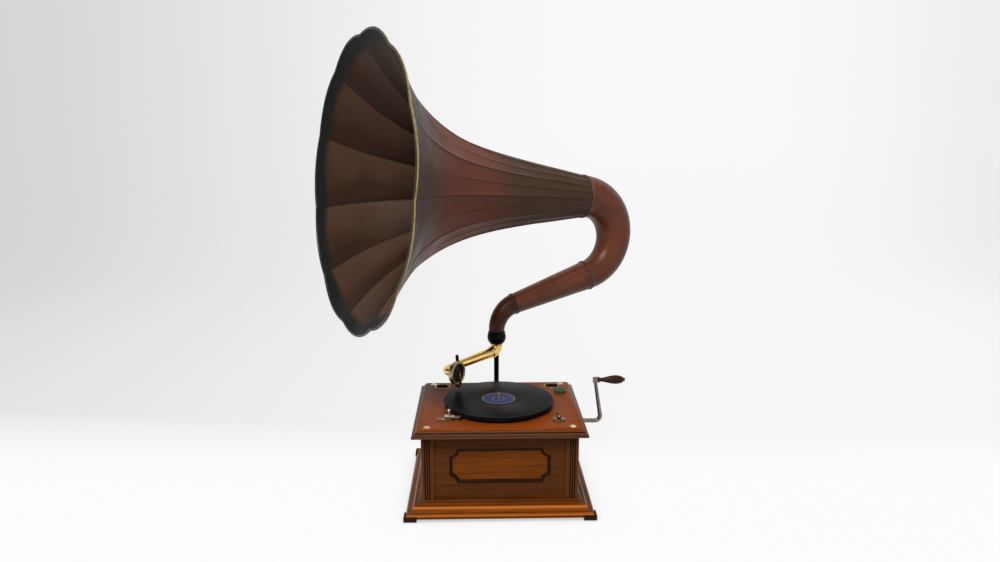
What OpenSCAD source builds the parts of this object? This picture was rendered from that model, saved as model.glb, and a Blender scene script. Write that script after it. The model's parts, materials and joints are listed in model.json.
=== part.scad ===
// Table gramophone with a petalled sheet-metal horn, a wind-up spring motor and a swinging tone arm.
// Origin: on the table, under the middle of the cabinet. X to the right, Y to the back, Z up. Millimetres.

/* [Cabinet] */
// Width over the corner posts
body_w = 336; // [322:1:400]
// Depth over the corner posts
body_d = 299; // [285:1:360]
// Height of the deck above the table
deck_z = 195; // [185:1:260]
// Thickness of the motor board that forms the deck
board_t = 14; // [10:1:18]
// How far the motor board stands out past the body
board_over = 7; // [3:1:14]
// Width of the moulding round the motor board
edge_w = 12; // [8:1:20]
// Drop from the deck to the top of that moulding
edge_quirk = 4; // [1:0.5:6]
// How far that moulding hangs below the board
edge_drop = 3; // [0:0.5:5]
// Side of the square corner posts
post_w = 26; // [22:1:36]
// Thickness of the panels
panel_t = 12; // [6:1:16]
// How far the panels are set back from the posts
panel_set = 4; // [1:0.5:8]
// Height of the plinth moulding above the table
plinth_h = 34; // [30:1:46]
// How far the plinth stands out past the body
plinth_over = 33.5; // [26:0.5:44]
// Height of the gap under the plinth
foot_h = 5; // [3:0.5:9]
// Side of the square feet
foot_w = 28; // [20:1:36]
// How far the feet stand out past the plinth
foot_lip = 3.5; // [2:0.5:6]
// Height of the feet where they wrap the corners of the plinth
foot_cap = 12; // [8:0.5:16]
// Thickness of the base board
base_t = 10; // [6:1:14]
// Radius of the flutes on the corner posts
flute_r = 2; // [1.2:0.1:2.2]
// Width of the sunk front tablet over its frame
tablet_w = 216; // [150:1:250]
// Height of the sunk front tablet over its frame
tablet_h = 78; // [50:1:90]
// Radius of the scooped corners of the tablet
tablet_scoop = 16; // [8:1:22]
// Width of the frame round the tablet
tablet_frame = 6; // [3:0.5:10]
// Thickness of the tablet
tablet_t = 3; // [1.5:0.5:5]
// Depth of the tablet behind the face of the panel
tablet_sink = 5; // [3:0.5:7]

/* [Deck fittings] */
// Diameter of the round screw heads
screw_head_d = 14; // [8:0.5:16]
// Diameter of the screw shanks
screw_d = 4.5; // [3:0.1:6]
// Length of the screw shanks below the head
screw_len = 30; // [20:1:40]
// Diameter of a needle cup over its rim
cup_d = 39; // [30:0.5:44]
// Board left under a needle cup
cup_floor = 2; // [0.5:0.5:4]
// Wall of a needle cup
cup_wall = 1.2; // [0.8:0.1:2.5]
// Diameter of the cloth-covered rest
rest_d = 30; // [20:0.5:36]
// Height of the cloth-covered rest
rest_h = 6; // [3:0.5:12]
// Diameter of the speed dial
dial_d = 28; // [22:0.5:34]
// Radius swept by the speed pointer
pointer_len = 11; // [8:0.5:20]
// Length of the brake base
brake_len = 56; // [44:1:70]
// Width of the brake base
brake_w = 16; // [12:1:20]
// Length of the block round the hub of the brake
brake_block = 21; // [14:0.5:26]
// Distance of the brake pin from the edge of the platter
brake_off = 21.2; // [18:0.1:26]
// Direction of the brake from the spindle, turned forward from the left
brake_at = 40.75; // [30:0.25:50]
// Distance of the speed control from the right side of the body
dial_in_x = 39; // [30:0.5:45]
// Distance of the speed control from the front of the body
dial_in_y = 46.5; // [40:0.5:60]

/* [Turntable and record] */
// Diameter of the record
record_d = 250; // [170:1:250]
// Thickness of the record
record_t = 2; // [1.5:0.1:3]
// Diameter of the record label
label_d = 75; // [60:1:90]
// Diameter of the platter
platter_d = 244; // [160:1:246]
// Height of the platter rim
platter_h = 8; // [7:0.5:14]
// Gap between the platter rim and the deck
platter_gap = 3; // [2:0.5:6]
// Thickness of the cloth on the platter
felt_t = 1.5; // [0.8:0.1:3]
// Diameter of the spindle where it carries the record
pin_d = 7.2; // [6:0.1:7.6]
// Height of the spindle above the record
pin_h = 15; // [6:0.5:20]
// Diameter of the spindle shaft in the motor
shaft_d = 9; // [8.2:0.1:12]
// Distance of the spindle in front of the middle of the deck
spindle_y = 4; // [0:0.5:12]

/* [Motor] */
// Distance between the motor plates
motor_h = 78; // [76:0.5:90]
// Thickness of the motor plates
plate_t = 4; // [3:0.5:6]
// Reach of the motor plates to the left of the spindle
plate_left = 46; // [38:1:60]
// Width of plate left outside the great wheel
plate_edge = 12; // [8:1:16]
// Clear space between the motor plates and the side panel
wall_gap = 10; // [4:1:20]
// Diameter of the pillars between the plates
pillar_d = 9; // [6:0.5:12]
// Largest distance of the barrel arbor to the right of the spindle
barrel_x = 85; // [80:0.5:88]
// Diameter of the spring barrel
barrel_d = 84; // [70:1:85]
// Wall of the spring barrel
barrel_wall = 2; // [1.5:0.1:3]
// Diameter of the winding arbor
arbor_d = 10; // [8:0.5:12]
// Thickness of the gear wheels
wheel_t = 3; // [2:0.1:4]
// Teeth of the spindle pinion
spindle_n = 12; // [10:1:14]
// Teeth of the intermediate wheel
mid_n = 48; // [44:1:50]
// Teeth of the intermediate pinion
mid_pinion_n = 12; // [10:1:13]
// Teeth of the great wheel on the barrel
great_n = 60; // [56:1:62]
// Module of the spindle pinion and the intermediate wheel
fast_m = 1.25; // [1.2:0.01:1.3]
// Module of the great wheel and the intermediate pinion
slow_m = 1.5; // [1.45:0.01:1.55]
// Teeth of the crown wheel on the winding arbor
wind_n = 24; // [22:1:28]
// Teeth of the pinion on the crank shaft
crank_n = 12; // [10:1:13]
// Module of the winding gears
wind_m = 2; // [1.8:0.05:2.1]
// Teeth of the crown wheel that drives the governor
gov_wheel_n = 60; // [54:1:62]
// Teeth of the governor pinion
gov_n = 10; // [9:1:12]
// Module of the governor gears
gov_m = 1; // [0.95:0.01:1.05]
// Diameter of the governor shaft
gov_d = 4; // [3:0.1:5]
// Diameter of a governor weight
weight_d = 11; // [8:0.5:13]
// Distance of the governor weights from their shaft
weight_r = 15; // [13:0.5:20]
// Diameter of the governor disc
disc_d = 36; // [28:0.5:44]
// Distance from the speed control to the pin of the friction lever
lever_len = 65; // [50:1:75]
// Distance of the front right pillar from the front of the plates
pillar_in = 40; // [30:1:50]

/* [Crank] */
// Distance of the crank shaft below the deck
crank_drop = 42; // [38:0.5:46]
// Diameter of the crank shaft
crank_d = 10; // [8:0.5:12]
// Length of the crank shaft outside the side panel
crank_out = 72; // [56:1:100]
// Distance of the handle from the crank shaft
crank_arm = 98; // [80:1:110]
// Lean of the crank arm toward the cabinet
crank_lean = 8.8; // [0:0.1:14]
// Radius of the bend in the crank
crank_bend = 12; // [10:0.5:18]
// Length of the wooden handle
handle_len = 60; // [45:1:80]
// Largest diameter of the handle
handle_d = 20; // [16:0.5:28]
// Diameter of the handle pin
handle_pin_d = 4; // [3:0.1:4.6]

/* [Tone arm] */
// Distance of the arm pivot behind the middle of the cabinet
pivot_y = 184; // [182:0.5:200]
// Height of the arm elbow above the deck
arm_rise = 74; // [70:0.5:90]
// Length of the arm between its two bends
arm_len = 166; // [150:0.5:176]
// Fall of the arm toward the record
arm_droop = 6.7; // [4:0.1:8]
// Swing of the arm from the left in the drawn position
arm_yaw = 38.8; // [34:0.1:42]
// Diameter of the arm's stem in the ball
arm_d1 = 24; // [20:0.1:26]
// Diameter of the elbow below the ball
elbow_d = 28; // [24:0.1:32]
// Diameter of the arm at the soundbox end
arm_d2 = 18.5; // [14:0.1:20]
// Wall of the arm tube
arm_wall = 1.2; // [0.8:0.1:2]
// Turn of the crook that carries the soundbox
crook_turn = 108; // [90:0.5:112]
// Diameter of the soundbox
box_d = 54; // [46:0.5:60]
// Thickness of the soundbox
box_t = 12; // [9:0.5:16]
// Distance of the soundbox face from the arm axis
box_reach = 44; // [40:0.5:50]
// Diameter of the needle
needle_d = 1.6; // [1.2:0.1:2]
// Height of the finger lift above the arm
lift_h = 17; // [10:0.5:24]

/* [Horn] */
// Number of petals
petals = 11; // [8:1:14]
// Radius of the mouth at the petal crests
mouth_r = 331; // [260:1:360]
// Depth of the notches between petals at the rim
notch = 10; // [4:0.5:16]
// Length of the bell along its axis
bell_len = 588; // [480:1:680]
// Radius of the bell at the throat
throat_r = 53; // [46:0.5:60]
// Growth of the bell radius by its cone
cone_rise = 90; // [50:1:110]
// Power of the flare toward the mouth
flare_pow = 4.7; // [3:0.1:6]
// Thickness of the horn sheet
sheet_t = 0.6; // [0.4:0.1:1.2]
// Radius of the rolled rim
rim_r = 3.2; // [2:0.1:5]
// Turn of the horn toward the front
horn_yaw = 26.7; // [0:0.1:60]
// Rise of the horn axis toward the mouth
horn_rise = 5; // [0:0.1:12]
// Rise of the tapered pipe away from the pivot
pipe_rise = 14; // [8:0.1:20]
// Length of the tapered pipe
pipe_len = 218; // [180:1:260]
// Radius of the tapered pipe at its wide end
pipe_r = 37; // [33:0.5:42]
// Radius of the tapered pipe at its narrow end
pipe_r2 = 25; // [22.5:0.5:29]
// Bend radius of the large elbow
elbow_bend = 103.5; // [90:0.5:120]
// Bend radius of the neck above the bracket
neck_bend = 64; // [50:1:76]
// Radius of the neck where it sits on the bracket
neck_r = 19; // [18:0.5:22]

/* [Bracket] */
// Radius of the ball socket
ball_r = 23; // [22:0.5:27]
// Height of the ball socket
ball_h = 31; // [26:0.5:34]
// Height of the ball's middle above the arm elbow
ball_up = 33.5; // [31:0.5:40]
// Diameter of the bracket post
post_d = 12.5; // [10:0.5:16]
// Distance of the post behind the arm pivot
post_back = 26; // [25:0.5:36]
// Width of the bracket plate on the back
foot_plate_w = 70; // [50:1:100]
// Height of the bracket plate on the back
foot_plate_h = 96; // [70:1:100]

/* [Hidden] */
$fn = 64;

// Running clearance of a shaft in its hole, and the play between fixed pieces
fit = 0.05;
// Clearance between faces that move past each other
gap = 0.4;
// Small lift of the needle over the record
tip_gap = 0.3;
// Overlap that joins two lengths of one piece
lap = 0.05;

// Cabinet
board_w = body_w + 2*board_over;
board_d = body_d + 2*board_over;
body_top = deck_z - board_t;
base_z = foot_h + 3;
carcass_z = base_z + base_t;
panel_face_x = body_w/2 - panel_set;
panel_face_y = body_d/2 - panel_set;
screw_x = body_w/2 - post_w/2;
screw_y = body_d/2 - post_w/2 + 6;
tablet_z = (plinth_h + body_top)/2 + 1;

// Deck fittings, placed from the edges of the body
cup_depth = board_t - cup_floor;
// The cups stand beside the back screws
cup_off = (screw_head_d + cup_d)/2 + 1.1;
cup_x = screw_x - cup_off*cos(36.4);
cup_y = screw_y - cup_off*sin(36.4);
rest_x = body_w/2 - 20;
rest_y = body_d/2 - 69;
brake_out = platter_d/2 + brake_off;
brake_x = -brake_out*cos(brake_at);
brake_y = -spindle_y - brake_out*sin(brake_at);
dial_x = body_w/2 - dial_in_x;
dial_y = -body_d/2 + dial_in_y;

// Turntable stack
sp_y = -spindle_y;
rim_z = deck_z + platter_gap;
platter_top = rim_z + platter_h;
record_z = platter_top + felt_t;
record_top = record_z + record_t;

// Motor levels
plate_z = body_top - plate_t;
floor_z = plate_z - motor_h;
crank_z = deck_z - crank_drop;
wind_r = wind_m*wind_n/2;
crank_r = wind_m*crank_n/2;
wind_pitch_z = crank_z - crank_r;
wind_disc_z = wind_pitch_z - 1.25*wind_m - wheel_t;
great_z = floor_z + plate_t + 1;
great_r = slow_m*great_n/2;
// The barrel stands as far out as the side panel lets it
bar_x = min(barrel_x, body_w/2 - panel_set - panel_t - wall_gap - plate_edge - great_r);
mid_pinion_r = slow_m*mid_pinion_n/2;
barrel_z = great_z + wheel_t;
barrel_top = wind_disc_z - 3;
lid_t = 2;
mid_r = fast_m*mid_n/2;
spindle_pr = fast_m*spindle_n/2;
mid_z = plate_z - 17;
// The intermediate arbor stands where both of its meshes close
d1 = spindle_pr + mid_r;
d2 = great_r + mid_pinion_r;
base_v = [bar_x, -sp_y];
base_l = norm(base_v);
along = (d1*d1 - d2*d2 + base_l*base_l)/(2*base_l);
across = sqrt(d1*d1 - along*along);
mid_x = (base_v[0]*along - base_v[1]*across)/base_l;
mid_y = sp_y + (base_v[1]*along + base_v[0]*across)/base_l;
// Turn that puts a tooth of each wheel into a gap of its neighbour
mid_dir_sp = atan2(sp_y - mid_y, -mid_x);
mid_dir_ba = atan2(-mid_y, bar_x - mid_x);
gov_r = gov_m*gov_wheel_n/2;
gov_pr = gov_m*gov_n/2;
gov_z = crank_z - 18;
gov_pitch_z = gov_z + gov_pr;
gov_pin_d = gov_d - 1;
cock_in = gov_r - 16;
cock_out = gov_r + 62;
cock_t = 4;
disc_at = cock_out - 16;
weight_at = (gov_r + 12 + disc_at)/2;
cam_d = 12;
cam_off = 1.5;
lever_w = 6;
lever_t = 6;
lever_pin_d = 6;
lever_hub = 8;
lever_end = 4;
lever_x = dial_x - lever_len;
lever_y = dial_y - cam_d/2 - gap - lever_w/2;
pad_gap = 1;
pointer_d = 6;
plate_x0 = -plate_left;
plate_x1 = max(bar_x + great_r + plate_edge, dial_x + pointer_d/2 + 3.5);
plate_y0 = min(sp_y - cock_out, lever_y) - 12;
plate_y1 = great_r + plate_edge + 2;

// Crank
crank_in = bar_x + wind_r - 7;
crank_bear = bar_x + wind_r + 2.4*wind_m + 2;
crank_corner = panel_face_x + crank_out;
eye_x = crank_corner - crank_arm*tan(crank_lean);
eye_t = crank_d;

// Tone arm
arm_z = deck_z + arm_rise;
ball_z = arm_z + ball_up;
ball_bot = ball_z - ball_h/2;
ball_top = ball_z + ball_h/2;
stem_turn = 90 - arm_droop;
stem_bend = elbow_d*0.56;
stem_tan = stem_bend*tan(stem_turn/2);
crook_bend = 13;
crook_tan = crook_bend*tan(crook_turn/2);
sleeve_x = arm_len - crook_tan - 34;
stem_flange = 3;
stem_top = ball_z + 4;

// Horn path, measured in the plane of the horn from the pivot outward
spigot_h = 11;
flange_t = 2;
neck_z = ball_top + flange_t;
neck_turn = 90 - pipe_rise;
neck_straight = 1;
neck_end = [-neck_bend*(1 - cos(neck_turn)), neck_z + neck_straight + neck_bend*sin(neck_turn)];
pipe_dir = [-cos(pipe_rise), sin(pipe_rise)];
pipe_end = neck_end + pipe_len*pipe_dir;
joint_len = 8;
elbow_start = pipe_end + joint_len*pipe_dir;
elbow_turn = 180 - pipe_rise - horn_rise;
elbow_c = elbow_start + elbow_bend*[sin(pipe_rise), cos(pipe_rise)];
elbow_end = elbow_c + elbow_bend*[-sin(horn_rise), cos(horn_rise)];
horn_dir = [cos(horn_rise), sin(horn_rise)];
throat = elbow_end + joint_len*horn_dir;
seam_at = 6.3;

// Outline of a straight-sided gear with n teeth of module m
module gear_2d(n, m) {
    r = m*n/2;
    p = 360/n;
    polygon([for (i = [0:n-1]) for (k = [[-0.24, -1.25], [-0.09, 0.8], [0.09, 0.8], [0.24, -1.25]])
        (r + k[1]*m)*[cos((i + k[0])*p), sin((i + k[0])*p)]]);
}

// Crown wheel: a disc with radial teeth that rise from its upper face, pitch plane at z = 0
module crown_wheel(n, m, t, bore) {
    r = m*n/2;
    p = PI*m;
    difference() {
        translate([0, 0, -1.25*m - t]) cylinder(h = t, r = r + 1.5*m);
        translate([0, 0, -1.25*m - t - 1]) cylinder(h = t + 2, d = bore);
    }
    for (i = [0:n-1]) rotate([0, 0, 360*i/n]) translate([r - 1.4*m, 0, 0])
        rotate([90, 0, 90]) linear_extrude(2.8*m)
            polygon([[-0.22*p, -1.25*m - 0.01], [-0.09*p, 0.8*m],
                [0.09*p, 0.8*m], [0.22*p, -1.25*m - 0.01]]);
}

// Rectangle with scooped corners, drawn in by m on every side
module scooped(w, h, r, m) {
    difference() {
        square([w - 2*m, h - 2*m], center = true);
        for (x = [-1, 1], y = [-1, 1]) translate([x*w/2, y*h/2]) circle(r + m);
    }
}

// One mitred length of moulding along the back face of a w by d block; the child is its section
module mitred_side(len, face, over) {
    intersection() {
        translate([-len/2 - over, face, 0]) rotate([90, 0, 90]) linear_extrude(len + 2*over) children();
        linear_extrude(deck_z + 20) polygon([[-len/2, face], [len/2, face],
            [len/2 + over, face + over], [-len/2 - over, face + over]]);
    }
}

module mitred_ring(w, d, over) {
    for (a = [0, 180]) rotate([0, 0, a]) mitred_side(w, d/2, over) children();
    for (a = [90, 270]) rotate([0, 0, a]) mitred_side(d, w/2, over) children();
}

// Hollow or solid skin through rings of points: outer rings first, then the inner rings
module shell(outer, inner) {
    n = len(outer[0]);
    k = len(outer);
    pts = [for (r = outer) each r, for (r = inner) each r];
    o = k*n;
    walls = [for (i = [0:k-2]) for (j = [0:n-1]) let (a = i*n + j, b = i*n + (j + 1)%n)
        each [[a, b, b + n], [a, b + n, a + n],
              [o + b, o + a, o + b + n], [o + a, o + a + n, o + b + n]]];
    ends = [for (j = [0:n-1]) let (a = j, b = (j + 1)%n, c = (k-1)*n + j, d = (k-1)*n + (j + 1)%n)
        each [[b, a, o + a], [b, o + a, o + b], [c, d, o + c], [d, o + d, o + c]]];
    polyhedron(pts, concat(walls, ends), convexity = 6);
}

// Ring of n points of radius r round a point [q, z] of the horn plane; a is the heading there
function ring(c, a, r, n) = [for (j = [0:n-1]) let (t = 360*j/n)
    [c[0] - r*cos(t)*sin(a), r*sin(t), c[1] + r*cos(t)*cos(a)]];

// Cabinet

module feet() {
    out = plinth_over + foot_lip;
    color("saddlebrown")
    for (x = [-1, 1], y = [-1, 1]) difference() {
        translate([x*(body_w/2 + out - foot_w/2), y*(body_d/2 + out - foot_w/2), foot_cap/2])
            cube([foot_w, foot_w, foot_cap], center = true);
        // Room for the corner of the plinth
        translate([x*(body_w/2 + plinth_over - foot_w), y*(body_d/2 + plinth_over - foot_w),
            foot_h + foot_cap])
            cube([2*foot_w, 2*foot_w, 2*foot_cap], center = true);
    }
}

module base_board() {
    color("sienna") translate([-body_w/2, -body_d/2, base_z]) cube([body_w, body_d, base_t]);
}

// Quarter of an ellipse round c, from the angle a by 90 degrees
function quarter(c, r, a) = [for (i = [0:6]) c + [r[0]*cos(a + 15*i), r[1]*sin(a + 15*i)]];

// Section of the plinth from the bottom up: square, ovolo, sloping band, cove and fillet
module plinth_section() {
    b = plinth_over;
    h = plinth_h - foot_h;
    cove = [b*0.33, h*0.26];
    fil = b*0.16;
    polygon(concat([[0, foot_h], [b, foot_h]],
        quarter([b*0.735, foot_h + h*0.09], [b*0.265, h*0.215], 0),
        [[b*0.69, foot_h + h*0.305], [b*0.665, foot_h + h*0.36], [b*0.51, foot_h + h*0.66]],
        [for (i = [6:-1:0]) [fil + cove[0], plinth_h - h*0.05]
            - [cove[0]*cos(15*i), cove[1]*sin(15*i)]],
        [[fil, plinth_h], [0, plinth_h]]));
}

module plinth_moulding() {
    color("sienna") mitred_ring(body_w, body_d, plinth_over) plinth_section();
}

module corner_posts() {
    pitch = post_w*0.185;
    flute_z = carcass_z - 1;
    flute_h = body_top - carcass_z + 2;
    color("peru")
    for (x = [-1, 1], y = [-1, 1]) difference() {
        translate([x*(body_w - post_w)/2, y*(body_d - post_w)/2, (carcass_z + body_top)/2])
            cube([post_w, post_w, body_top - carcass_z], center = true);
        for (k = [-1:1]) {
            translate([x*((body_w - post_w)/2 + k*pitch), y*body_d/2, flute_z])
                cylinder(h = flute_h, r = flute_r);
            translate([x*body_w/2, y*((body_d - post_w)/2 + k*pitch), flute_z])
                cylinder(h = flute_h, r = flute_r);
        }
        translate([x*screw_x, y*screw_y, deck_z - screw_len - 0.5])
            cylinder(h = screw_len, d = screw_d + 2*fit);
    }
}

// Frame of the front tablet: z out of the panel's face, the middle of the tablet at the origin
module on_tablet() {
    translate([0, -panel_face_y, tablet_z]) rotate([90, 0, 0]) children();
}

module front_panel() {
    color("peru") difference() {
        translate([-body_w/2 + post_w, -panel_face_y, carcass_z])
            cube([body_w - 2*post_w, panel_t, body_top - carcass_z]);
        on_tablet() translate([0, 0, -panel_t - 1]) linear_extrude(panel_t + 2)
            scooped(tablet_w, tablet_h, tablet_scoop, 0);
    }
}

module back_panel() {
    color("peru") difference() {
        translate([-body_w/2 + post_w, panel_face_y - panel_t, carcass_z])
            cube([body_w - 2*post_w, panel_t, body_top - carcass_z]);
        bracket_screw_places() translate([0, 0, -plate_back - panel_t - 1])
            cylinder(h = panel_t + 2, d = screw_d + 2*fit);
    }
}

module side_panels() {
    color("peru") {
        translate([-panel_face_x, -body_d/2 + post_w, carcass_z])
            cube([panel_t, body_d - 2*post_w, body_top - carcass_z]);
        difference() {
            translate([panel_face_x - panel_t, -body_d/2 + post_w, carcass_z])
                cube([panel_t, body_d - 2*post_w, body_top - carcass_z]);
            translate([panel_face_x - panel_t - 1, 0, crank_z]) rotate([0, 90, 0])
                cylinder(h = panel_t + 2, d = crank_d + 4);
        }
    }
}

module front_tablet() {
    color("burlywood") on_tablet() translate([0, 0, -tablet_sink - tablet_t])
        linear_extrude(tablet_t) scooped(tablet_w, tablet_h, tablet_scoop, tablet_frame);
}

// Lining of the opening, stepping down from a small bead to the tablet
module tablet_moulding() {
    color("saddlebrown") on_tablet()
        for (k = [[0.3, 0.8], [0.65, -tablet_sink*0.32], [1, -tablet_sink*0.72]])
        translate([0, 0, -panel_t]) linear_extrude(panel_t + k[1]) difference() {
            scooped(tablet_w, tablet_h, tablet_scoop, 0);
            scooped(tablet_w, tablet_h, tablet_scoop, tablet_frame*k[0]);
        }
}

module motor_board() {
    color("chocolate") difference() {
        translate([-board_w/2, -board_d/2, body_top]) cube([board_w, board_d, board_t]);
        for (x = [-1, 1], y = [-1, 1]) translate([x*screw_x, y*screw_y, body_top - 1])
            cylinder(h = board_t + 2, d = screw_d + 2*fit);
        for (x = [-1, 1]) translate([x*cup_x, cup_y, body_top - 1])
            cylinder(h = board_t + 2, d = cup_d - 5 + 2*fit);
        translate([0, sp_y, body_top - 1]) cylinder(h = board_t + 2, d = shaft_d + 5);
        translate([dial_x, dial_y, body_top - 1]) cylinder(h = board_t + 2, d = pointer_d + 2*fit);
    }
}

// Section of the edge moulding: bead, step, ovolo and a small chamfer below
module edge_section() {
    low = body_top - edge_drop;
    top = deck_z - edge_quirk;
    h = top - low;
    w = edge_w;
    polygon(concat([[0, low], [w*0.93, low], [w, low + h*0.09]],
        quarter([w*0.43, low + h*0.22], [w*0.57, h*0.38], 0),
        [[w*0.43, low + h*0.64], [w*0.35, low + h*0.66]],
        quarter([w*0.08, top - h*0.26], [w*0.27, h*0.26], 0), [[0, top]]));
}

module top_moulding() {
    color("sienna") mitred_ring(board_w, board_d, edge_w) edge_section();
}

// Round-headed wood screw, head on z = 0
module wood_screw(len) {
    rotate_extrude() {
        intersection() {
            translate([0, -screw_head_d*0.62]) circle(screw_head_d*0.8);
            square([screw_head_d/2, screw_head_d]);
        }
        translate([0, -len]) square([screw_d/2, len]);
    }
}

module deck_screws() {
    color("gold") for (x = [-1, 1], y = [-1, 1]) translate([x*screw_x, y*screw_y, deck_z])
        wood_screw(screw_len - 1);
}

// Needle cup: a turned-over rim on the deck and a bowl let into the board
module needle_cup(x) {
    bowl = (cup_d - 5)/2;
    color("silver") translate([x, cup_y, deck_z]) rotate_extrude() {
        polygon([[0, -cup_depth], [bowl - 3, -cup_depth], [bowl, -cup_depth + 3], [bowl, 0],
            [cup_d/2, 0], [cup_d/2, cup_wall], [bowl - cup_wall, cup_wall],
            [bowl - cup_wall, -cup_depth + 3.5], [bowl - 3.5, -cup_depth + cup_wall],
                [0, -cup_depth + cup_wall]]);
    }
}

module needle_cup_left() needle_cup(-cup_x);

module needle_cup_right() needle_cup(cup_x);

module soundbox_rest() {
    edge = min(2, rest_h/3);
    color("seagreen") translate([rest_x, rest_y, deck_z]) rotate_extrude() {
        square([rest_d/2, rest_h - edge]);
        translate([0, rest_h - edge]) square([rest_d/2 - edge, edge]);
        intersection() {
            translate([rest_d/2 - edge, rest_h - edge]) circle(edge);
            translate([rest_d/2 - edge, rest_h - edge]) square(edge);
        }
    }
}

module crank_escutcheon() {
    color("gold") translate([panel_face_x, 0, crank_z]) rotate([0, 90, 0]) difference() {
        union() {
            cylinder(h = 2, d = crank_d + 18);
            cylinder(h = 4, d = crank_d + 8);
        }
        translate([0, 0, -1]) cylinder(h = 7, d = crank_d + 2*fit);
    }
}

// Bracket for the horn and the arm

plate_back = 6;
bracket_z = body_top - 20 - foot_plate_h/2;
post_y = pivot_y + post_back;
low_bend = 24;

module bracket_screw_places() {
    for (x = [-1, 1], z = [-1, 1])
        translate([x*(foot_plate_w/2 - 11), panel_face_y + plate_back, bracket_z + z*(foot_plate_h/2 - 11)])
            rotate([-90, 0, 0]) children();
}

module ball_section() {
    difference() {
        union() {
            intersection() {
                translate([0, 2]) circle(ball_r);
                translate([0, -ball_h/2]) square([ball_r, ball_h - 5]);
            }
            translate([0, ball_h/2 - 5]) square([ball_r - 3, 5]);
            translate([0, ball_h/2 - 3.5]) square([ball_r - 1.8, 3.5]);
        }
        translate([0, -ball_h]) square([arm_d1/2 + fit, 2*ball_h]);
        translate([0, stem_top - stem_flange - ball_z]) square([arm_d1/2 + 2.5 + fit, ball_h]);
    }
}

module horn_bracket() {
    arm_y = post_y - panel_face_y - plate_back;
    color("#202022") {
        translate([0, pivot_y, ball_z]) rotate_extrude() ball_section();
        // Short arm from the post to the socket, stopped at the bore
        difference() {
            translate([0, pivot_y + ball_r - 5, ball_z - 4]) rotate([-90, 0, 0])
                cylinder(h = post_back - ball_r + 5, d = post_d);
            translate([0, pivot_y, ball_z]) cylinder(h = ball_h, d = arm_d1 + 5.2, center = true);
        }
        translate([0, post_y, ball_z - 4]) sphere(d = post_d);
        translate([0, post_y, bracket_z + low_bend])
            cylinder(h = ball_z - 4 - bracket_z - low_bend, d = post_d);
        translate([0, post_y - low_bend, bracket_z + low_bend]) rotate([0, 90, 0])
            rotate_extrude(angle = 90) translate([low_bend, 0]) circle(d = post_d);
        translate([0, panel_face_y + plate_back - 1, bracket_z]) rotate([-90, 0, 0])
            cylinder(h = arm_y - low_bend + 1, d = post_d);
        translate([0, panel_face_y + plate_back, bracket_z]) rotate([-90, 0, 0])
            cylinder(h = 8, d1 = post_d + 14, d2 = post_d);
        translate([0, panel_face_y, bracket_z]) difference() {
            translate([-foot_plate_w/2, 0, -foot_plate_h/2]) cube([foot_plate_w, plate_back, foot_plate_h]);
            translate([0, -panel_face_y, -bracket_z]) bracket_screw_places()
                translate([0, 0, -plate_back - 1]) cylinder(h = plate_back + 2, d = screw_d + 2*fit);
        }
    }
}

module bracket_screws() {
    color("gold") bracket_screw_places() wood_screw(plate_back + panel_t - 2);
}

// Brake and speed control

brake_pin_d = 5;
pad_r = 5;
brake_gap = 2.2;
// Direction from the brake pivot to the spindle, and the lever's length and turn with the brake off
brake_dir = atan2(sp_y - brake_y, -brake_x);
brake_span = norm([brake_x, brake_y - sp_y]);
pad_far = platter_d/2 + pad_r + brake_gap;
pad_reach = brake_span - pad_far + 6;
pad_turn = brake_dir - acos((brake_span*brake_span + pad_reach*pad_reach - pad_far*pad_far)
    /(2*brake_span*pad_reach));
knob_reach = 9;

module brake_base() {
    color("silver") translate([brake_x, brake_y, deck_z]) {
        difference() {
            union() {
                translate([-brake_len/2 + brake_w/2, -brake_w/2, 0])
                    cube([brake_len - brake_w, brake_w, 1.6]);
                for (x = [-1, 1]) translate([x*(brake_len - brake_w)/2, 0, 0])
                    cylinder(h = 1.6, d = brake_w);
            }
            for (x = [-1, 1]) translate([x*(brake_len - brake_w)/2, 0, -1]) cylinder(h = 4, d = 3.4);
        }
        cylinder(h = 3, d = brake_pin_d + 7);
        cylinder(h = 11, d = brake_pin_d);
        translate([0, 0, 10.6]) cylinder(h = 2, d1 = brake_pin_d + 3, d2 = brake_pin_d);
        for (x = [-1, 1]) translate([x*(brake_len - brake_w)/2, 0, 1.6]) intersection() {
            translate([0, 0, -3]) sphere(r = 4.6);
            cylinder(h = 3, d = 9);
        }
    }
}

module brake_lever() {
    z0 = deck_z + 3 + gap;
    color("gainsboro") translate([brake_x, brake_y, z0]) {
        difference() {
            union() {
                cylinder(h = 6.4, d = brake_pin_d + 7);
                translate([-brake_block/2, -brake_w*0.31, 0]) cube([brake_block, brake_w*0.62, 6.4]);
                rotate([0, 0, pad_turn]) translate([0, -3, 0]) cube([pad_reach - pad_r + 1, 6, 4]);
                rotate([0, 0, pad_turn + 100]) translate([0, -3, 0]) cube([knob_reach, 6, 4]);
            }
            translate([0, 0, -1]) cylinder(h = 10, d = brake_pin_d + 2*fit);
            rotate([0, 0, pad_turn]) translate([pad_reach, 0, -1]) cylinder(h = 10, r = pad_r);
        }
        rotate([0, 0, pad_turn + 100]) translate([knob_reach, 0, 0]) {
            cylinder(h = 12, d = 5);
            translate([0, 0, 14]) sphere(d = 8);
        }
    }
    color("sienna") translate([brake_x, brake_y, z0]) rotate([0, 0, pad_turn])
        translate([pad_reach, 0, 0]) cylinder(h = 5, r = pad_r);
}

module speed_dial() {
    color("silver") translate([dial_x, dial_y, deck_z]) difference() {
        union() {
            cylinder(h = 1.6, d = dial_d);
            cylinder(h = 3, d = dial_d - 7);
        }
        translate([0, 0, -1]) cylinder(h = 6, d = pointer_d + 2*fit);
    }
}

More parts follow.
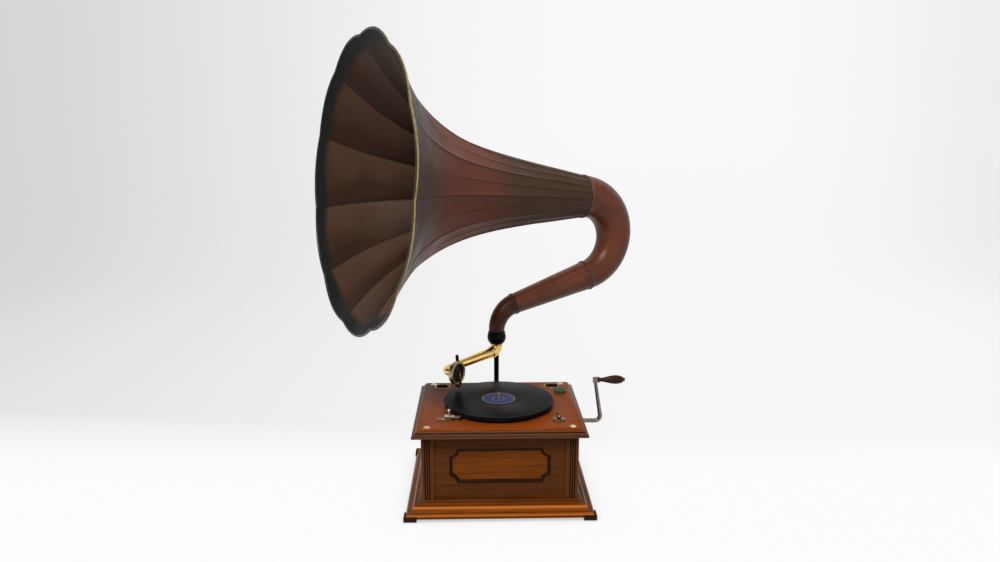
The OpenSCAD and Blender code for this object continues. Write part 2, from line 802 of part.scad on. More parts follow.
// Pointer over the dial, its shaft through the board and the cam that moves the friction lever
module speed_pointer() {
    color("gainsboro") translate([dial_x, dial_y, 0]) {
        translate([0, 0, gov_z - 4]) cylinder(h = deck_z + 3 + gap - gov_z + 4, d = pointer_d);
        translate([0, 0, deck_z + 3 + gap]) {
            cylinder(h = 5, d = 10);
            translate([0, 0, 5]) intersection() {
                translate([0, 0, -3]) sphere(r = 5.6);
                cylinder(h = 5, d = 10);
            }
            rotate([0, 0, 100]) translate([0, -2.5, 0]) cube([pointer_len, 5, 2.4]);
            rotate([0, 0, 100]) translate([pointer_len, 0, 0]) cylinder(h = 11, d1 = 5, d2 = 4);
        }
        translate([cam_off, 0, gov_z - 4]) cylinder(h = 8, d = cam_d);
    }
}

// Lever on a pin under the top plate: its long end rides on the cam, its pad stands before the disc
module friction_lever() {
    pad_x = disc_d/2 - lever_t;
    pad_len = sp_y - disc_at - 2 - pad_gap - lever_y - lever_w/2;
    color("gray") translate([0, lever_y, gov_z - lever_t/2]) difference() {
        union() {
            translate([lever_x, 0, 0]) cylinder(h = lever_t, d = lever_pin_d + lever_hub);
            translate([pad_x - lever_end, -lever_w/2, 0])
                cube([dial_x - pad_x + 2*lever_end, lever_w, lever_t]);
        }
        translate([lever_x, 0, -1]) cylinder(h = lever_t + 2, d = lever_pin_d + 2*fit);
    }
    color("tan") translate([pad_x, lever_y + lever_w/2, gov_z]) rotate([-90, 0, 0])
        cylinder(h = pad_len, d = lever_t);
}

// Motor

module plate_2d() {
    translate([plate_x0, plate_y0]) square([plate_x1 - plate_x0, plate_y1 - plate_y0]);
}

pillar_at = [[plate_x0 + 10, plate_y0 + 10], [plate_x1 - 10, plate_y0 + pillar_in],
    [plate_x0 + 10, plate_y1 - 10], [plate_x1 - 10, plate_y1 - 10]];

module motor_plate_top() {
    color("dimgray") {
        difference() {
            translate([0, 0, plate_z]) linear_extrude(plate_t) plate_2d();
            translate([0, sp_y, plate_z - 1]) cylinder(h = plate_t + 2, d = shaft_d + 2*fit);
            translate([mid_x, mid_y, plate_z - 1]) cylinder(h = plate_t + 2, d = 4 + 2*fit);
            translate([bar_x, 0, plate_z - 1]) cylinder(h = plate_t + 2, d = arbor_d - 3 + 2*fit);
            for (p = pillar_at) translate([p[0], p[1], plate_z - 1])
                cylinder(h = plate_t + 2, d = 4 + 2*fit);
            translate([dial_x, dial_y, plate_z - 1]) cylinder(h = plate_t + 2, d = pointer_d + 2);
        }
        // Bearing for the inner end of the crank shaft
        difference() {
            translate([crank_bear, -9, crank_z - 9]) cube([6, 18, plate_z - crank_z + 9]);
            translate([crank_bear - 1, 0, crank_z]) rotate([0, 90, 0]) cylinder(h = 8, d = crank_d + 2*fit);
        }
        // Pin that carries the friction lever
        translate([lever_x, lever_y, gov_z - lever_t/2 - 2])
            cylinder(h = plate_z - gov_z + lever_t/2 + 2, d = lever_pin_d);
        translate([lever_x, lever_y, gov_z + lever_t/2 + gap])
            cylinder(h = plate_z - gov_z - lever_t/2 - gap, d = lever_pin_d + 4);
    }
}

module motor_plate_bottom() {
    color("dimgray") difference() {
        translate([0, 0, floor_z]) linear_extrude(plate_t) plate_2d();
        translate([0, sp_y, floor_z + 1]) cylinder(h = plate_t, d = shaft_d - 3 + 2*fit);
        translate([mid_x, mid_y, floor_z - 1]) cylinder(h = plate_t + 2, d = 4 + 2*fit);
        translate([bar_x, 0, floor_z - 1]) cylinder(h = plate_t + 2, d = arbor_d - 3 + 2*fit);
        for (p = pillar_at) translate([p[0], p[1], floor_z - 1]) cylinder(h = plate_t + 2, d = 4 + 2*fit);
    }
}

module motor_pillars() {
    color("gray") for (p = pillar_at) translate([p[0], p[1], 0]) {
        translate([0, 0, floor_z + plate_t]) cylinder(h = plate_z - floor_z - plate_t, d = pillar_d);
        translate([0, 0, floor_z]) cylinder(h = plate_z + plate_t - floor_z, d = 4);
    }
}

module governor_cocks() {
    color("gray") for (g = [cock_in, cock_out]) difference() {
        translate([-8, sp_y - g - cock_t/2, floor_z + plate_t])
            cube([16, cock_t, gov_z + 3.4 - floor_z - plate_t]);
        translate([0, sp_y - g, gov_z]) rotate([90, 0, 0])
            cylinder(h = cock_t + 2, d = gov_pin_d + 2*fit, center = true);
    }
}

module spindle() {
    foot = shaft_d - 3;
    seat = platter_top - 3;
    tip_z = record_top + 0.5;
    tip_d = pin_d - 1.2;
    color("lightgray") translate([0, sp_y, 0]) {
        translate([0, 0, floor_z + 1]) cylinder(h = plate_t, d = foot);
        translate([0, 0, floor_z + plate_t + gap/2])
            cylinder(h = seat - floor_z - plate_t - gap/2, d = shaft_d);
        // Flange that the platter stands on
        translate([0, 0, deck_z + 1]) cylinder(h = 1.5, d = shaft_d + 8);
        translate([0, 0, seat]) cylinder(h = tip_z - seat, d = pin_d);
        translate([0, 0, tip_z]) cylinder(h = record_top + pin_h - 3 - tip_z, d = tip_d);
        translate([0, 0, record_top + pin_h - 3]) cylinder(h = 3, d1 = tip_d, d2 = tip_d*0.5);
    }
    color("goldenrod") translate([0, sp_y, mid_z - 1.5]) difference() {
        rotate([0, 0, mid_dir_sp + 180 + 180/spindle_n])
            linear_extrude(wheel_t + 3) gear_2d(spindle_n, fast_m);
        translate([0, 0, -1]) cylinder(h = wheel_t + 6, d = shaft_d + 2*fit);
    }
}

// Crown wheel on the spindle, teeth down, that drives the governor
module governor_wheel() {
    color("goldenrod") translate([0, sp_y, gov_pitch_z]) mirror([0, 0, 1]) {
        crown_wheel(gov_wheel_n, gov_m, wheel_t, shaft_d + 2*fit);
        translate([0, 0, -1.25*gov_m - wheel_t - 5]) difference() {
            cylinder(h = 5, d = shaft_d + 8);
            translate([0, 0, -1]) cylinder(h = 7, d = shaft_d + 2*fit);
        }
    }
}

// Pressed platter: a rim turned down round a flat disc, with a hub
module platter() {
    web = 2.4;
    color("dimgray") translate([0, sp_y, 0]) rotate_extrude() difference() {
        union() {
            translate([0, platter_top - web]) square([platter_d/2, web]);
            translate([platter_d/2 - 4, rim_z]) square([4, platter_h]);
            translate([0, deck_z + 2.5]) square([shaft_d/2 + 6, platter_top - deck_z - 2.5]);
        }
        square([shaft_d/2 + fit, platter_top - 3]);
        square([pin_d/2 + fit, platter_top + 1]);
    }
}

module turntable_felt() {
    color("darkgreen") translate([0, sp_y, platter_top]) difference() {
        cylinder(h = felt_t, d = platter_d);
        translate([0, 0, -1]) cylinder(h = felt_t + 2, d = pin_d + 2*fit);
    }
}

module record() {
    color("#151515") translate([0, sp_y, record_z]) difference() {
        cylinder(h = record_t, d = record_d);
        translate([0, 0, -1]) cylinder(h = record_t + 2, d = pin_d + 2*fit);
    }
}

module record_label() {
    color("#3050a0") translate([0, sp_y, record_top]) difference() {
        cylinder(h = 0.25, d = label_d);
        translate([0, 0, -1]) cylinder(h = 3, d = pin_d + 2*fit);
    }
}

module spring_barrel() {
    hub = arbor_d/2 + 4;
    color("goldenrod") translate([bar_x, 0, 0]) {
        difference() {
            translate([0, 0, great_z]) rotate([0, 0, mid_dir_ba + 180 + 180/great_n])
                linear_extrude(wheel_t) gear_2d(great_n, slow_m);
            translate([0, 0, great_z - 1]) cylinder(h = wheel_t + 2, d = arbor_d + 2*fit);
        }
        difference() {
            translate([0, 0, barrel_z]) cylinder(h = barrel_top - lid_t - barrel_z, d = barrel_d);
            translate([0, 0, barrel_z + 2]) cylinder(h = barrel_top, d = barrel_d - 2*barrel_wall);
            translate([0, 0, barrel_z - 1]) cylinder(h = 5, d = arbor_d + 2*fit);
        }
    }
}

module barrel_lid() {
    color("goldenrod") translate([bar_x, 0, barrel_top - lid_t]) difference() {
        cylinder(h = lid_t, d = barrel_d);
        translate([0, 0, -1]) cylinder(h = lid_t + 2, d = arbor_d + 2*fit);
    }
}

// Ribbon spring, wound as one spiral against the barrel wall
module mainspring() {
    turns = 5;
    steps = 20;
    outer = barrel_d/2 - barrel_wall - gap;
    pitch = 3;
    t = 1.2;
    n = turns*steps;
    color("steelblue") translate([bar_x, 0, barrel_z + 2 + gap])
        linear_extrude(barrel_top - lid_t - barrel_z - 2 - 2*gap) polygon(concat(
            [for (i = [0:n]) (outer - pitch*i/steps)*[cos(360*i/steps), sin(360*i/steps)]],
            [for (i = [n:-1:0]) (outer - t - pitch*i/steps)*[cos(360*i/steps), sin(360*i/steps)]]));
}

// Arbor through the barrel with the crown wheel that the crank turns
module winding_arbor() {
    color("gray") translate([bar_x, 0, 0]) {
        translate([0, 0, floor_z]) cylinder(h = plate_z + plate_t - floor_z, d = arbor_d - 3);
        translate([0, 0, floor_z + plate_t + gap])
            cylinder(h = plate_z - floor_z - plate_t - 2*gap, d = arbor_d);
        translate([0, 0, wind_pitch_z]) crown_wheel(wind_n, wind_m, wheel_t, arbor_d - 0.02);
    }
}

module intermediate_wheel() {
    color("goldenrod") translate([mid_x, mid_y, 0]) {
        translate([0, 0, floor_z]) cylinder(h = plate_z + plate_t - floor_z, d = 4);
        translate([0, 0, floor_z + plate_t + gap]) cylinder(h = plate_z - floor_z - plate_t - 2*gap, d = 7);
        translate([0, 0, great_z - gap]) rotate([0, 0, mid_dir_ba])
            linear_extrude(wheel_t + 2*gap) gear_2d(mid_pinion_n, slow_m);
        translate([0, 0, mid_z]) rotate([0, 0, mid_dir_sp]) linear_extrude(wheel_t) gear_2d(mid_n, fast_m);
    }
}

// The governor lies along -Y from under the spindle; g counts outward from the spindle axis
module on_governor(g) {
    translate([0, sp_y - g, gov_z]) rotate([90, 0, 0]) children();
}

collar_at = gov_r + 12;
collar_t = 6;

module governor_shaft() {
    color("lightgray") {
        on_governor(cock_in - cock_t/2) cylinder(h = cock_out - cock_in + cock_t, d = gov_pin_d);
        on_governor(cock_in + cock_t/2 + gap) cylinder(h = cock_out - cock_in - cock_t - 2*gap, d = gov_d);
        on_governor(gov_r - 3.2*gov_m) rotate([0, 0, 90]) rotate([0, 0, 180/gov_n])
            linear_extrude(6.4*gov_m) gear_2d(gov_n, gov_m);
        on_governor(collar_at) cylinder(h = collar_t, d = 12);
    }
}

module governor_weights() {
    color("goldenrod") for (k = [0:2]) on_governor(weight_at - weight_d/2) rotate([0, 0, 120*k])
        translate([weight_r, 0, 0]) cylinder(h = weight_d, d = weight_d);
}

// Leaf springs from the fixed collar over each weight to the sliding disc's collar
module governor_springs() {
    t = 0.4;
    a = [collar_at + collar_t/2, 6];
    b = [weight_at - weight_d/2 - 2, weight_r - weight_d/2 - t - fit];
    c = [weight_at + weight_d/2 + 2, b[1]];
    d = [disc_at - 3, 6];
    pts = [a, b, c, d];
    color("lightsteelblue") for (k = [0:2]) on_governor(0) rotate([0, 0, 120*k]) rotate([90, 0, 0])
        translate([0, 0, -2.5]) linear_extrude(5)
            polygon(concat([for (p = pts) [p[1] + t, p[0]]], [for (i = [3:-1:0]) [pts[i][1], pts[i][0]]]));
}

module governor_disc() {
    color("goldenrod") difference() {
        union() {
            on_governor(disc_at) cylinder(h = 2, d = disc_d);
            on_governor(disc_at - 6) cylinder(h = 6, d = 12);
        }
        on_governor(disc_at - 8) cylinder(h = 12, d = gov_d + 2*fit);
    }
}

// Crank

module crank() {
    turn = 90 + crank_lean;
    tan_len = crank_bend*tan(turn/2);
    arm_l = crank_arm/cos(crank_lean);
    color("silver") {
        translate([crank_in, 0, crank_z]) rotate([0, 90, 0])
            cylinder(h = crank_corner - tan_len - crank_in, d = crank_d);
        translate([crank_corner - tan_len, 0, crank_z + crank_bend]) rotate([90, 0, 0]) rotate([0, 0, -90])
            rotate_extrude(angle = turn) translate([crank_bend, 0]) circle(d = crank_d);
        translate([crank_corner, 0, crank_z]) rotate([0, -crank_lean, 0]) translate([0, 0, tan_len - 1])
            cylinder(h = arm_l - tan_len - 4, d1 = crank_d - 0.4, d2 = crank_d*0.75);
        // Eye and the pin that the handle turns on
        translate([eye_x - eye_t/2, 0, crank_z + crank_arm]) rotate([0, 90, 0]) {
            cylinder(h = eye_t, d = crank_d + 3);
            cylinder(h = handle_len + eye_t + 2, d = handle_pin_d);
            translate([0, 0, handle_len + eye_t + gap]) cylinder(h = 2.6, d = handle_pin_d + 4);
        }
    }
    color("goldenrod") translate([bar_x + wind_r - 3.2*wind_m/2 - 1, 0, crank_z]) rotate([0, 90, 0])
        difference() {
            rotate([0, 0, 180/crank_n]) linear_extrude(3.2*wind_m + 2) gear_2d(crank_n, wind_m);
            translate([0, 0, -1]) cylinder(h = 4*wind_m + 4, d = crank_d + 2*fit);
        }
}

// Radius of the turned handle at the share u of its length
function handle_r(u) = u < 0.1 ? handle_d*0.335 : let (v = (u - 0.1)/0.9, neck = handle_d*0.22)
    v < 0.66 ? neck + (handle_d/2 - neck)*pow(sin(90*v/0.66), 1.7)
    : handle_d/2*sqrt(1 - pow((v - 0.66)/0.37, 2));

module crank_handle() {
    n = 30;
    color("#4a2c20") translate([eye_x + eye_t/2 + gap/2, 0, crank_z + crank_arm])
        rotate([0, 90, 0]) difference() {
        rotate_extrude() polygon(concat([[0, 0]],
            [for (i = [0:n]) [max(3.6, handle_r(i/n)), handle_len*i/n]], [[0, handle_len]]));
        translate([0, 0, -1]) cylinder(h = handle_len + 2, d = handle_pin_d + 2*fit);
    }
}

// Tone arm: the arm frame has its corner under the pivot, X along the arm, Y toward the soundbox

module arm_frame() {
    translate([0, pivot_y, arm_z]) rotate([0, 0, 180 + arm_yaw]) children();
}

module tube_frame() {
    arm_frame() rotate([0, arm_droop, 0]) children();
}

// Solid bend in the XY plane that runs a little into the lengths at both ends
module bend(a, r, d, over) {
    rotate([0, 0, -over]) rotate_extrude(angle = a + 2*over) translate([r, 0]) circle(d = d);
}

module tonearm_elbow() {
    bore = arm_d1 - 2*arm_wall;
    flange_z = stem_top - stem_flange - arm_z;
    color("goldenrod") arm_frame() difference() {
        union() {
            translate([stem_bend, 0, stem_tan]) rotate([90, 0, 0]) rotate([0, 0, 180])
                bend(stem_turn, stem_bend, elbow_d, 2);
            translate([0, 0, stem_tan]) rotate_extrude() polygon([[0, 0], [arm_d1/2, 0],
                [arm_d1/2, flange_z - stem_tan], [arm_d1/2 + 2.5, flange_z - stem_tan],
                [arm_d1/2 + 2.5, flange_z - stem_tan + stem_flange],
                    [0, flange_z - stem_tan + stem_flange]]);
            rotate([0, arm_droop, 0]) translate([stem_tan, 0, 0]) rotate([0, 90, 0])
                cylinder(h = ring_l, d = elbow_d + 1.6);
        }
        translate([stem_bend, 0, stem_tan]) rotate([90, 0, 0]) rotate([0, 0, 180])
            bend(stem_turn, stem_bend, bore - 0.1, 1.5);
        translate([0, 0, stem_tan]) cylinder(h = stem_top, d = bore);
        rotate([0, arm_droop, 0]) translate([stem_tan, 0, 0]) rotate([0, 90, 0])
            cylinder(h = ring_l + 1, d = bore);
    }
}

ring_l = 5;
tube_x = stem_tan + ring_l;
spigot_l = 20;

// Tapered tube with the spigot that the crook turns on
module tonearm_tube() {
    l = sleeve_x - tube_x;
    ro = elbow_d/2 - 1.4;
    re = arm_d2/2 + 0.8;
    rs = arm_d2/2 - arm_wall - fit;
    color("gold") tube_frame() translate([tube_x, 0, 0]) rotate([0, 90, 0]) rotate_extrude()
        polygon([[ro - arm_wall, 0], [ro, 0], [re, l], [rs, l], [rs, l + spigot_l],
            [rs - arm_wall, l + spigot_l], [rs - arm_wall, l - 4]]);
}

// Crook: a sleeve on the arm, a bend and a short neck to the back of the soundbox
module crook() {
    neck_l = box_reach - box_t - crook_tan;
    sleeve_l = arm_len - crook_tan - sleeve_x - gap/2;
    bore = arm_d2 - 2*arm_wall;
    bead = 1.3;
    color("goldenrod") tube_frame() difference() {
        union() {
            translate([sleeve_x + gap/2, 0, 0]) rotate([0, 90, 0]) rotate_extrude()
                polygon([[0, 0], [arm_d2/2 + bead, 0], [arm_d2/2 + bead, 4], [arm_d2/2, 4],
                    [arm_d2/2, sleeve_l], [0, sleeve_l]]);
            translate([arm_len - crook_tan, crook_bend, 0]) rotate([0, 0, -90])
                bend(crook_turn, crook_bend, arm_d2 - 0.1, 2);
            translate([arm_len, 0, 0]) rotate([0, 0, crook_turn]) translate([crook_tan, 0, 0])
                rotate([0, 90, 0]) cylinder(h = neck_l, d = arm_d2);
        }
        translate([sleeve_x - 1, 0, 0]) rotate([0, 90, 0]) cylinder(h = sleeve_l + 1 + gap/2, d = bore);
        translate([arm_len - crook_tan, crook_bend, 0]) rotate([0, 0, -90])
            bend(crook_turn, crook_bend, bore - 0.1, 1.5);
        translate([arm_len, 0, 0]) rotate([0, 0, crook_turn]) translate([crook_tan, 0, 0])
            rotate([0, 90, 0]) cylinder(h = neck_l + 1, d = bore);
    }
}

module finger_lift() {
    lift_x = sleeve_x + 8;
    color("#202022") tube_frame() translate([lift_x, 0, 0]) difference() {
        union() {
            cylinder(h = arm_d2/2 + lift_h - 3, d = 8);
            translate([0, 0, arm_d2/2 + lift_h - 3]) cylinder(h = 3, d1 = 8, d2 = 5.5);
        }
        translate([-20, 0, 0]) rotate([0, 90, 0]) cylinder(h = 40, d = arm_d2 + 2*fit);
    }
}

// Soundbox frame: Z along its axis out of the face, X down toward the record, origin in the face
module box_frame() {
    tube_frame() translate([arm_len, 0, 0]) rotate([0, 0, crook_turn]) translate([box_reach, 0, 0])
        rotate([0, 90, 0]) children();
}

ring_w = 4;
dia_z = -box_t*0.4;

module soundbox_case() {
    color("silver") box_frame() rotate_extrude() difference() {
        translate([0, -box_t]) square([box_d/2, box_t - 2.4]);
        translate([0, -box_t - 1]) square([arm_d2/2 - arm_wall, box_t]);
        translate([0, dia_z - 2.6]) square([box_d/2 - ring_w, box_t]);
    }
}

module soundbox_ring() {
    color("gainsboro") box_frame() rotate_extrude() {
        translate([box_d/2 - ring_w - 1, -2.4]) square([ring_w + 1.8, 2.4]);
        translate([box_d/2 - ring_w + 0.6, 0]) intersection() {
            translate([1.7, -0.4]) circle(1.7);
            square([4, 2]);
        }
    }
}

// Diaphragm clamped between two gaskets
module diaphragm() {
    color("#5a3a2a") box_frame() {
        translate([0, 0, dia_z - 0.4]) cylinder(h = 0.4, d = box_d - 2*ring_w - 2*fit);
        difference() {
            translate([0, 0, dia_z]) cylinder(h = -2.4 - dia_z, d = box_d - 2*ring_w - 2*fit);
            translate([0, 0, dia_z - 1]) cylinder(h = box_t, d = box_d - 2*ring_w - 5);
        }
        difference() {
            translate([0, 0, dia_z - 2.6]) cylinder(h = 2.2, d = box_d - 2*ring_w - 2*fit);
            translate([0, 0, dia_z - 4]) cylinder(h = box_t, d = box_d - 2*ring_w - 5);
        }
    }
}

needle_tilt = 28;
clamp_x = box_d/2 + 5;
clamp_z = -7;
// Length from the clamp to the tip that brings the drooping arm's needle down to the record
needle_len = (arm_z - record_top - tip_gap - cos(arm_droop)*clamp_x
    - sin(arm_droop)*(arm_len + (box_reach + clamp_z)*cos(crook_turn)))
    /(sin(arm_droop)*sin(needle_tilt)*sin(crook_turn) + cos(arm_droop)*cos(needle_tilt));

// Stylus bar: a clamp below the case, a lever in front of the ring and a foot on the diaphragm
module stylus_bar() {
    color("silver") box_frame() {
        difference() {
            translate([box_d/2 + fit, -4, clamp_z - 4]) cube([clamp_x + 4 - box_d/2 - fit, 8, 8]);
            translate([clamp_x, 0, clamp_z]) rotate([0, 90, 0]) rotate([needle_tilt, 0, 0])
                cylinder(h = 30, d = needle_d + 2*fit, center = true);
        }
        translate([clamp_x, 4, clamp_z]) rotate([-90, 0, 0]) cylinder(h = 5, d = 3);
        translate([clamp_x, 9, clamp_z]) rotate([-90, 0, 0]) cylinder(h = 3, d = 7);
        // Lever over the front of the ring to the middle of the diaphragm
        translate([box_d/2 + 1.4, -1.5, clamp_z + 4]) cube([2, 3, 4.2 - clamp_z - 4]);
        translate([-1, -1.5, 2.2]) cube([box_d/2 + 4.4, 3, 2]);
        translate([0, 0, dia_z]) cylinder(h = 2.3 - dia_z, d = 2.4);
    }
}

module needle() {
    color("lightgray") box_frame() translate([clamp_x, 0, clamp_z])
        rotate([0, 90, 0]) rotate([needle_tilt, 0, 0]) {
        translate([0, 0, -4]) cylinder(h = needle_len, d = needle_d);
        translate([0, 0, needle_len - 4 - lap]) cylinder(h = 4 + lap, d1 = needle_d, d2 = 0.3);
    }
}

// Horn: the horn frame has its origin on the pivot axis, X toward the mouth, heights kept

module horn_frame() {
    translate([0, pivot_y, 0]) rotate([0, 0, 180 + horn_yaw]) children();
}

module axis_frame() {
    horn_frame() translate([throat[0], 0, throat[1]]) rotate([0, -horn_rise, 0]) children();
}

flare = mouth_r - throat_r - cone_rise;
// Crest radius of the bell at the share s of its length, and its slope
function bell_r(s) = throat_r + cone_rise*s + flare*pow(s, flare_pow);
function bell_slope(s) = atan((cone_rise + flare*flare_pow*pow(s, flare_pow - 1))/bell_len);
// Share of the notch at the angle t, zero on a crest and one in a seam
function dip(t) = let (u = (t - seam_at)*petals/360, f = u - floor(u)) pow(abs(2*f - 1), 1.6);
function bell_ring(s, off) = let (n = 6*petals, a = bell_slope(s)) [for (j = [0:n-1])
    let (t = seam_at - 360*j/n, r = bell_r(s) - notch*pow(s, 1.6)*dip(t) - off*cos(a))
    [s*bell_len + off*sin(a), -r*sin(t), r*cos(t)]];
bell_steps = 22;
bell_s = [for (i = [0:bell_steps]) 1 - pow(1 - i/bell_steps, 1.35)];

module horn_bell() {
    color("#7a4434") axis_frame()
        shell([for (s = bell_s) bell_ring(s, 0)], [for (s = bell_s) bell_ring(s, sheet_t)]);
}

// Rolled edge that follows the petals
module horn_rim() {
    n = 6*petals;
    a = bell_slope(1);
    sides = 6;
    d = rim_r*0.87 + fit;
    mid = bell_ring(1, sheet_t/2);
    rings = [for (j = [0:n-1]) let (t = seam_at - 360*j/n, p = mid[j], o = [0, -sin(t), cos(t)],
        c = p + d*(o*sin(a) + [cos(a), 0, 0]))
        [for (k = [0:sides-1]) let (b = a + 180*(2*k + 1)/sides)
            c + rim_r*(o*sin(b) + [cos(b), 0, 0])]];
    pts = [for (r = rings) each r];
    faces = [for (j = [0:n-1]) for (k = [0:sides-1])
        let (p = j*sides + k, q = j*sides + (k + 1)%sides,
             u = ((j + 1)%n)*sides + k, v = ((j + 1)%n)*sides + (k + 1)%sides)
        each [[p, q, v], [p, v, u]]];
    color("#b08d3a") axis_frame() polyhedron(pts, faces, convexity = 4);
}

// Large elbow, swelling from the pipe to the throat of the bell
module horn_elbow() {
    n = 28;
    k = 14;
    r0 = pipe_r;
    path = concat([[pipe_end, 180 - pipe_rise, r0]],
        [for (i = [0:k]) let (a = 180 - pipe_rise - elbow_turn*i/k)
            [elbow_c + elbow_bend*[cos(a + 90), sin(a + 90)], a, r0 + (throat_r - r0)*i/k]],
        [[throat, horn_rise, throat_r]]);
    color("#70402c") horn_frame() shell([for (p = path) ring(p[0], p[1], p[2], n)],
        [for (p = path) ring(p[0], p[1], p[2] - sheet_t, n)]);
}

module pipe_frame() {
    horn_frame() translate([neck_end[0], 0, neck_end[1]]) rotate([0, pipe_rise - 90, 0]) children();
}

module horn_pipe() {
    color("#70402c") pipe_frame() difference() {
        cylinder(h = pipe_len, r1 = pipe_r2, r2 = pipe_r);
        translate([0, 0, -0.01])
            cylinder(h = pipe_len + 0.02, r1 = pipe_r2 - sheet_t, r2 = pipe_r - sheet_t);
    }
}

module horn_neck() {
    n = 28;
    k = 8;
    path = concat([[[0, neck_z], 90, neck_r]],
        [for (i = [0:k]) let (a = neck_turn*i/k)
            [[-neck_bend*(1 - cos(a)), neck_z + neck_straight + neck_bend*sin(a)], 90 + a,
             neck_r + (pipe_r2 - neck_r)*i/k]]);
    color("#70402c") horn_frame() shell([for (p = path) ring(p[0], p[1], p[2], n)],
        [for (p = path) ring(p[0], p[1], p[2] - sheet_t, n)]);
}

// Half-round band of width w round a joint of radius r, on z = 0
module band(r, w) {
    rotate_extrude() difference() {
        union() {
            translate([r, -w/2]) square([1.7, w]);
            translate([r + 1.2, 0]) intersection() {
                circle(w*0.28);
                translate([0, -w]) square([w, 2*w]);
            }
        }
    }
}

module horn_collars() {
    bore = arm_d1/2 + 2.5;
    color("#5c3424") {
        axis_frame() rotate([0, 90, 0]) translate([0, 0, -3]) band(throat_r + 0.3, 9);
        pipe_frame() translate([0, 0, pipe_len + 1]) band(pipe_r + 0.2, 8);
        pipe_frame() band(pipe_r2 + 0.4, 6);
    }
    // Flange under the neck and the spigot that turns in the ball
    color("#202022") translate([0, pivot_y, ball_top]) difference() {
        union() {
            cylinder(h = flange_t, r = neck_r + 0.6);
            translate([0, 0, -spigot_h]) cylinder(h = spigot_h + flange_t, r = bore);
        }
        translate([0, 0, -spigot_h - 1]) cylinder(h = spigot_h + flange_t + 2, r = bore - 2);
    }
}

feet();
base_board();
plinth_moulding();
corner_posts();
front_panel();
back_panel();
side_panels();
front_tablet();
tablet_moulding();
motor_board();
top_moulding();
deck_screws();
needle_cup_left();
needle_cup_right();
soundbox_rest();
crank_escutcheon();
horn_bracket();
bracket_screws();
brake_base();
speed_dial();
motor_plate_top();
motor_plate_bottom();
motor_pillars();
governor_cocks();
spindle();
governor_wheel();
platter();
turntable_felt();
record();
record_label();
spring_barrel();
barrel_lid();
mainspring();
winding_arbor();
intermediate_wheel();
governor_shaft();
governor_weights();
governor_springs();
governor_disc();
speed_pointer();
friction_lever();
brake_lever();
crank();
crank_handle();
tonearm_elbow();
tonearm_tube();
crook();
finger_lift();
soundbox_case();
soundbox_ring();
diaphragm();
stylus_bar();
needle();
horn_bell();
horn_rim();
horn_elbow();
horn_pipe();
horn_neck();
horn_collars();
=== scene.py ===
"""Looks of a table gramophone with a petalled horn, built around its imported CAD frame."""

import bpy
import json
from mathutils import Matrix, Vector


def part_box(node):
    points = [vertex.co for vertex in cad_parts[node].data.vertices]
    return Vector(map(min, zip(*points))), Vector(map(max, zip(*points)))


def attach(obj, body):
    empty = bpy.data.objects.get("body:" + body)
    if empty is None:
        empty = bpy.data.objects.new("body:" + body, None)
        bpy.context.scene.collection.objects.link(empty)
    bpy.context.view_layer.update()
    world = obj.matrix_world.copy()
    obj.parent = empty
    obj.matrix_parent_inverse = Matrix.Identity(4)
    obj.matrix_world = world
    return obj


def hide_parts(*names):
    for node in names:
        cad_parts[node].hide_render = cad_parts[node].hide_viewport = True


bl_info = {
    "name": "Horn gramophone",
    "version": (1, 0, 0),
    "blender": (4, 5, 0),
    "location": "3D View > Sidebar > Gramophone",
    "description": "Builds and finishes the visible pieces of a horn gramophone",
    "category": "Object",
}

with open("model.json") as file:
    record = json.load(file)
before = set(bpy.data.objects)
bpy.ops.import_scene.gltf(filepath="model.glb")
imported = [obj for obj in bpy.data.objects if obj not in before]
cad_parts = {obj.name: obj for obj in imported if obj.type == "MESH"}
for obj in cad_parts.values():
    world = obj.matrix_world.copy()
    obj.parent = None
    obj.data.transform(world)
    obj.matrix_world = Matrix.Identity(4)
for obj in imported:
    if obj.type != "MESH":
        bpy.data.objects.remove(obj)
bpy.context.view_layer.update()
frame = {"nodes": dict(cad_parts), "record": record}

import json
import math

import bmesh
import bpy
from bpy.props import FloatProperty, FloatVectorProperty, IntProperty, PointerProperty
from mathutils import Matrix, Vector

BODY_OF = {node: body for body, nodes in frame["record"]["behaviour"]["bodies"].items() for node in nodes}
TO_METRES = Matrix.Scale(0.001, 4)


def box_mm(node):
    """Lowest and highest corner of a CAD node in millimetres."""
    low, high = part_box(node)
    return low * 1000, high * 1000


def srgb(red, green, blue):
    """Linear colour of an 8-bit display colour."""
    def line(c):
        c /= 255
        return c / 12.92 if c <= 0.04045 else ((c + 0.055) / 1.055) ** 2.4
    return line(red), line(green), line(blue)


def shade(tone, share):
    return [share * x for x in tone]


def length(name, text, millimetres):
    return FloatProperty(name=name, description=text, default=millimetres / 1000, min=0, unit="LENGTH")


def colour(name, text, red, green, blue):
    return FloatVectorProperty(name=name, description=text, subtype="COLOR", size=3, min=0, max=1,
                               default=srgb(red, green, blue))


def strength(name, text, value):
    return FloatProperty(name=name, description=text, default=value, min=0)


def angle(name, text, radians):
    return FloatProperty(name=name, description=text, default=radians, subtype="ANGLE")


